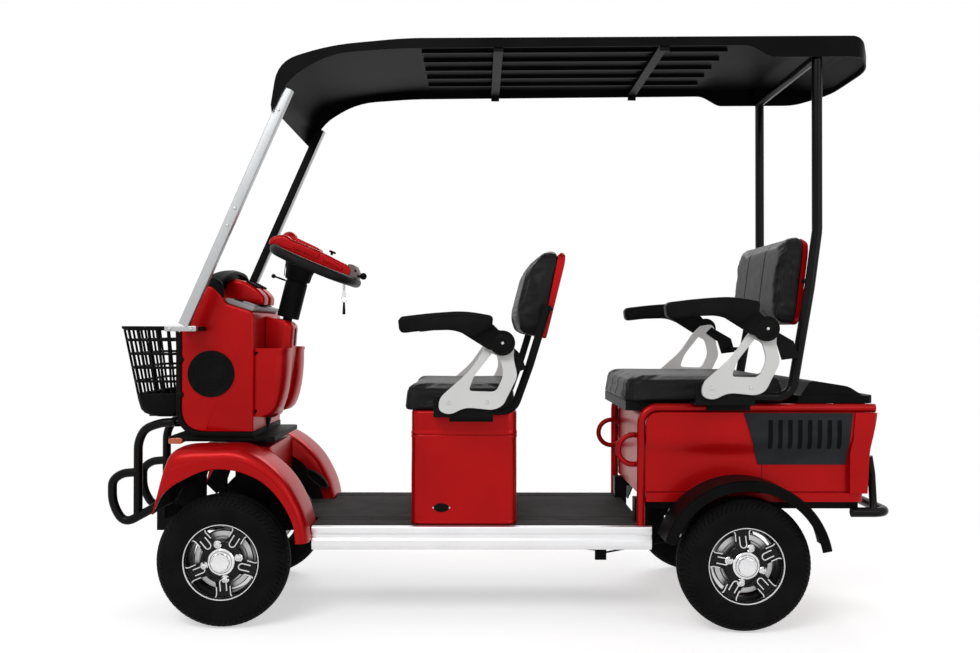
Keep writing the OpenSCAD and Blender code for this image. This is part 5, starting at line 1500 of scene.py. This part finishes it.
def armrest(seat_x, seat_z, sign):
    """Pad, arm and disc beside the seat whose corner is at (seat_x, seat_z)."""
    shift = np.array([seat_x, seat_z])
    parts = Parts()
    prism(parts, easing(PAD, 8) + shift, *sorted((sign * 345.6, sign * 395.2)), edge=9.0, steps=6)
    prism(parts, easing([(60, 571, 10), (134, 577, 10), (180, 556, 16), (232, 584, 6),
                         (236, 604, 8), (150, 612, 20), (66, 606, 20)], 6) + shift,
          *sorted((sign * 347, sign * 397.4)), edge=6.0)
    prism(parts, easing(ARM, 8) + shift, *sorted((sign * 346.4, sign * 366)), edge=4.0)
    g = turned([(0.01, 23.8), (5.5, 23.8), (6, 22), (25, 22), (27, 20.4), (29, 22), (33, 22),
                (36, 19), (36, 0.6), (0.01, 0.6)], 48)
    x, z = seat_x + PIVOT[0], seat_z + PIVOT[1]
    g = g * [1, sign, 1] + [x, sign * BRACKET_FACE, z]
    parts.grid(g, wrap_rows=True)
    screw(parts, x, sign * (BRACKET_FACE + DISC_HEIGHT), z, 5.2, 3.0, 1, sign, 6)
    return parts


for end, (x, z) in SEATS.items():
    for side, sign in (("left", -1), ("right", 1)):
        node = f"armrest_{end}_{side}"
        mesh = armrest(x, z, sign).mesh(node + "_pad", [arm_plastic, zinc], sharp=40.0)
        piece(node + "_pad", mesh, arm_plastic, body_of[node], (node,))
        remade.add(node)
fixings = {"front": Parts(), "rear": Parts()}
for end, (x, z) in SEATS.items():
    for sign in (-1, 1):
        for a, b in ((113, 365), (224, 367)):
            ring = turned([(4.5, -1), (7, -1), (7.6, 0.4), (7, 1.0), (5, 1.0), (4.4, 0)], 28)
            fixings[end].grid(ring * [1, sign, 1] + [x + a, sign * 345, z + b], wrap_rows=True,
                              tint=1)
            screw(fixings[end], x + a, sign * 344.6, z + b, 4.6, 2.4, 0, sign)
        for a in (128, 140, 224):
            wall = 262 if end == "front" else 280
            screw(fixings[end], x + a, sign * wall, z + 311, 3.4, 2.4, 0, sign)
    piece(f"{end}_fixings", fixings[end].mesh(f"{end}_fixings", [zinc, white]), zinc,
          "front_seat" if end == "front" else "chassis", slot="chrome")

# %% [markdown]
# Behind the slots of the rear louvres a near-black sheet is painted shade for the dark inside the
# box, and fine dark seams divide the side panels. The key hangs from the lock with a ring and a
# fob.

# %% Rear box seams, painted shade behind the louvres, and key fob
seams_and_louvre_shade = Parts()
for sign in (-1, 1):
    # painted shade: a near-black sheet just inside each louvre plate
    back = [(280.1, 597), (280.1, 538), (271.9, 509), (273.4, 508), (281.7, 538), (281.7, 597)]
    prism(seams_and_louvre_shade, np.array(back) * [sign, 1], 1578, 1806, edge=0.2, axis=0, steps=1)
    for x0, x1, z0, z1 in ((1232, 1862, 383, 384.4), (1569, 1570.4, 384, 470)):
        prism(seams_and_louvre_shade, np.array([(x0, z0), (x1, z0), (x1, z1), (x0, z1)], float),
              *sorted((sign * 264, sign * 266.3)), edge=0.1, steps=1)
piece("box_seams_and_louvre_shade", seams_and_louvre_shade.mesh("box_seams_and_louvre_shade", [painted_shade_and_black]), painted_shade_and_black, "chassis",
      slot="black_plastic")

fob = Parts()
fob.grid(turned([(4, 1006), (4, 984), (3, 982), (0.01, 982)], 20)[..., [0, 2, 1]] + [306, -40, 0],
         wrap_rows=True)
slab(fob, [(301, 982, 3), (311, 982, 3), (313, 966, 5), (306, 958, 6), (299, 966, 5)], 1.3, -40,
     0.5)
t = np.arange(28) * 2 * math.pi / 28
fob.grid(tube(np.column_stack([306 + 9 * np.cos(t), np.full(28, -40.0), 953 + 10 * np.sin(t)]), 1.1,
              8, closed=True), wrap_rows=True, wrap_columns=True)
slab(fob, [(303, 944, 2), (309, 944, 2), (311, 905, 4), (301, 905, 4)], 2.4, -40, 1, tint=1)
piece("key_and_fob", fob.mesh("key_and_fob", [chrome, black_plastic]), chrome, "key", ("key",))
remade.add("key")
print("posts, bumper, seat box, armrests and trim made")
# %% Round every solid that has no piece of its own
for node, (material, width) in FINISH_OF.items():
    if node not in remade:
        rounded(node, material, width)
print("rounded", len(FINISH_OF) - len(remade), "solids")

# %% [markdown]
# A plain pale floor and broad soft lamps. The world is white where the camera or a reflection
# looks at it, and gives a gentler, even light to everything else.

# %% Floor and light
def ground(half=9.0):
    """Flat square on the ground."""
    mesh = bpy.data.meshes.new("floor")
    mesh.from_pydata([(-half, -half, 0), (half, -half, 0), (half, half, 0), (-half, half, 0)], [],
                     [(0, 1, 2, 3)])
    obj = bpy.data.objects.new("floor", mesh)
    bpy.context.scene.collection.objects.link(obj)
    obj.location.z = cad_low[2] - 0.0004
    return obj


floor = ground()
def looked_at(add):
    """1 for a camera, glossy or transmission ray and 0 for light that falls on the object; add
    makes a Light Path node and gives one of its outputs."""
    rays = [add(out) for out in ("Is Camera Ray", "Is Glossy Ray", "Is Transmission Ray")]
    return (rays[0] + rays[1] + rays[2]).math("MINIMUM", 1.0)


floor_finish = Finish("pale_floor", Roughness=0.9, Specular_IOR_Level=0.1, Emission_Strength=0.52)
# the floor looks whiter than its shading, but sends no more light onto the object
floor_finish.feed("Emission Color", floor_finish.blend(
    looked_at(lambda out: floor_finish.add("ShaderNodeLightPath", out=out)),
    (0.0, 0.0, 0.0), (1.0, 1.0, 1.0)))
floor_finish.feed("Base Color", floor_finish.blend(floor_finish.noise(0.6), (0.93, 0.93, 0.93),
                                                   (0.95, 0.95, 0.95)))
# beyond a few metres the floor fades out, so it meets the backdrop without a horizon
reach = floor_finish.add("ShaderNodeVectorMath", {"operation": "LENGTH"}, {
    0: floor_finish.place((0.55, 1.0, 1.0))},
                         out="Value")
clear = floor_finish.add("ShaderNodeBsdfTransparent")
faded = floor_finish.add("ShaderNodeMixShader", inputs={
    0: reach.band(0.72, 1.7), 1: Wire(floor_finish.shader.outputs[0]), 2: clear})
floor_finish.tree.links.new(faded.socket,
                            floor_finish.tree.nodes["Material Output"].inputs["Surface"])
floor.data.materials.append(floor_finish.material)

world = bpy.data.worlds.new("studio")
world.use_nodes = True
bpy.context.scene.world = world
tree = world.node_tree
tree.nodes.clear()
path = tree.nodes.new("ShaderNodeLightPath")
seen = looked_at(lambda out: Wire(path.outputs[out]))
background = tree.nodes.new("ShaderNodeBackground")
plug(background.inputs["Color"], (1.0, 1.0, 1.0, 1.0))
plug(background.inputs["Strength"], 0.30 + 0.70 * seen)
tree.links.new(background.outputs[0], tree.nodes.new("ShaderNodeOutputWorld").inputs[0])


def lamp(name, at, to, size, power):
    """Square area lamp at a point, facing another."""
    data = bpy.data.lights.new(name, "AREA")
    data.shape = "RECTANGLE"
    data.size, data.size_y = size
    data.energy = power
    obj = bpy.data.objects.new(name, data)
    z = np.array(at, float) - np.array(to, float)
    z /= np.linalg.norm(z)
    x = np.cross((0.0, 0.0, 1.0), z)
    x /= np.linalg.norm(x)
    turned = Matrix([list(r) for r in np.array([x, np.cross(z, x), z]).T]).to_4x4()
    obj.matrix_world = Matrix.Translation(at) @ turned
    bpy.context.scene.collection.objects.link(obj)
    return obj


lamp("key_softbox", (-1.6, -3.6, 3.6), (0.0, 0.0, 0.8), (2.6, 1.6), 85)
lamp("fill_softbox", (2.6, -3.0, 1.8), (0.2, 0.0, 0.7), (2.0, 2.0), 22)
lamp("rim_softbox", (0.5, 3.0, 3.2), (0.0, 0.0, 1.0), (3.0, 1.2), 50)
scene = bpy.context.scene
scene.view_settings.view_transform = "Standard"

# %% End
import json
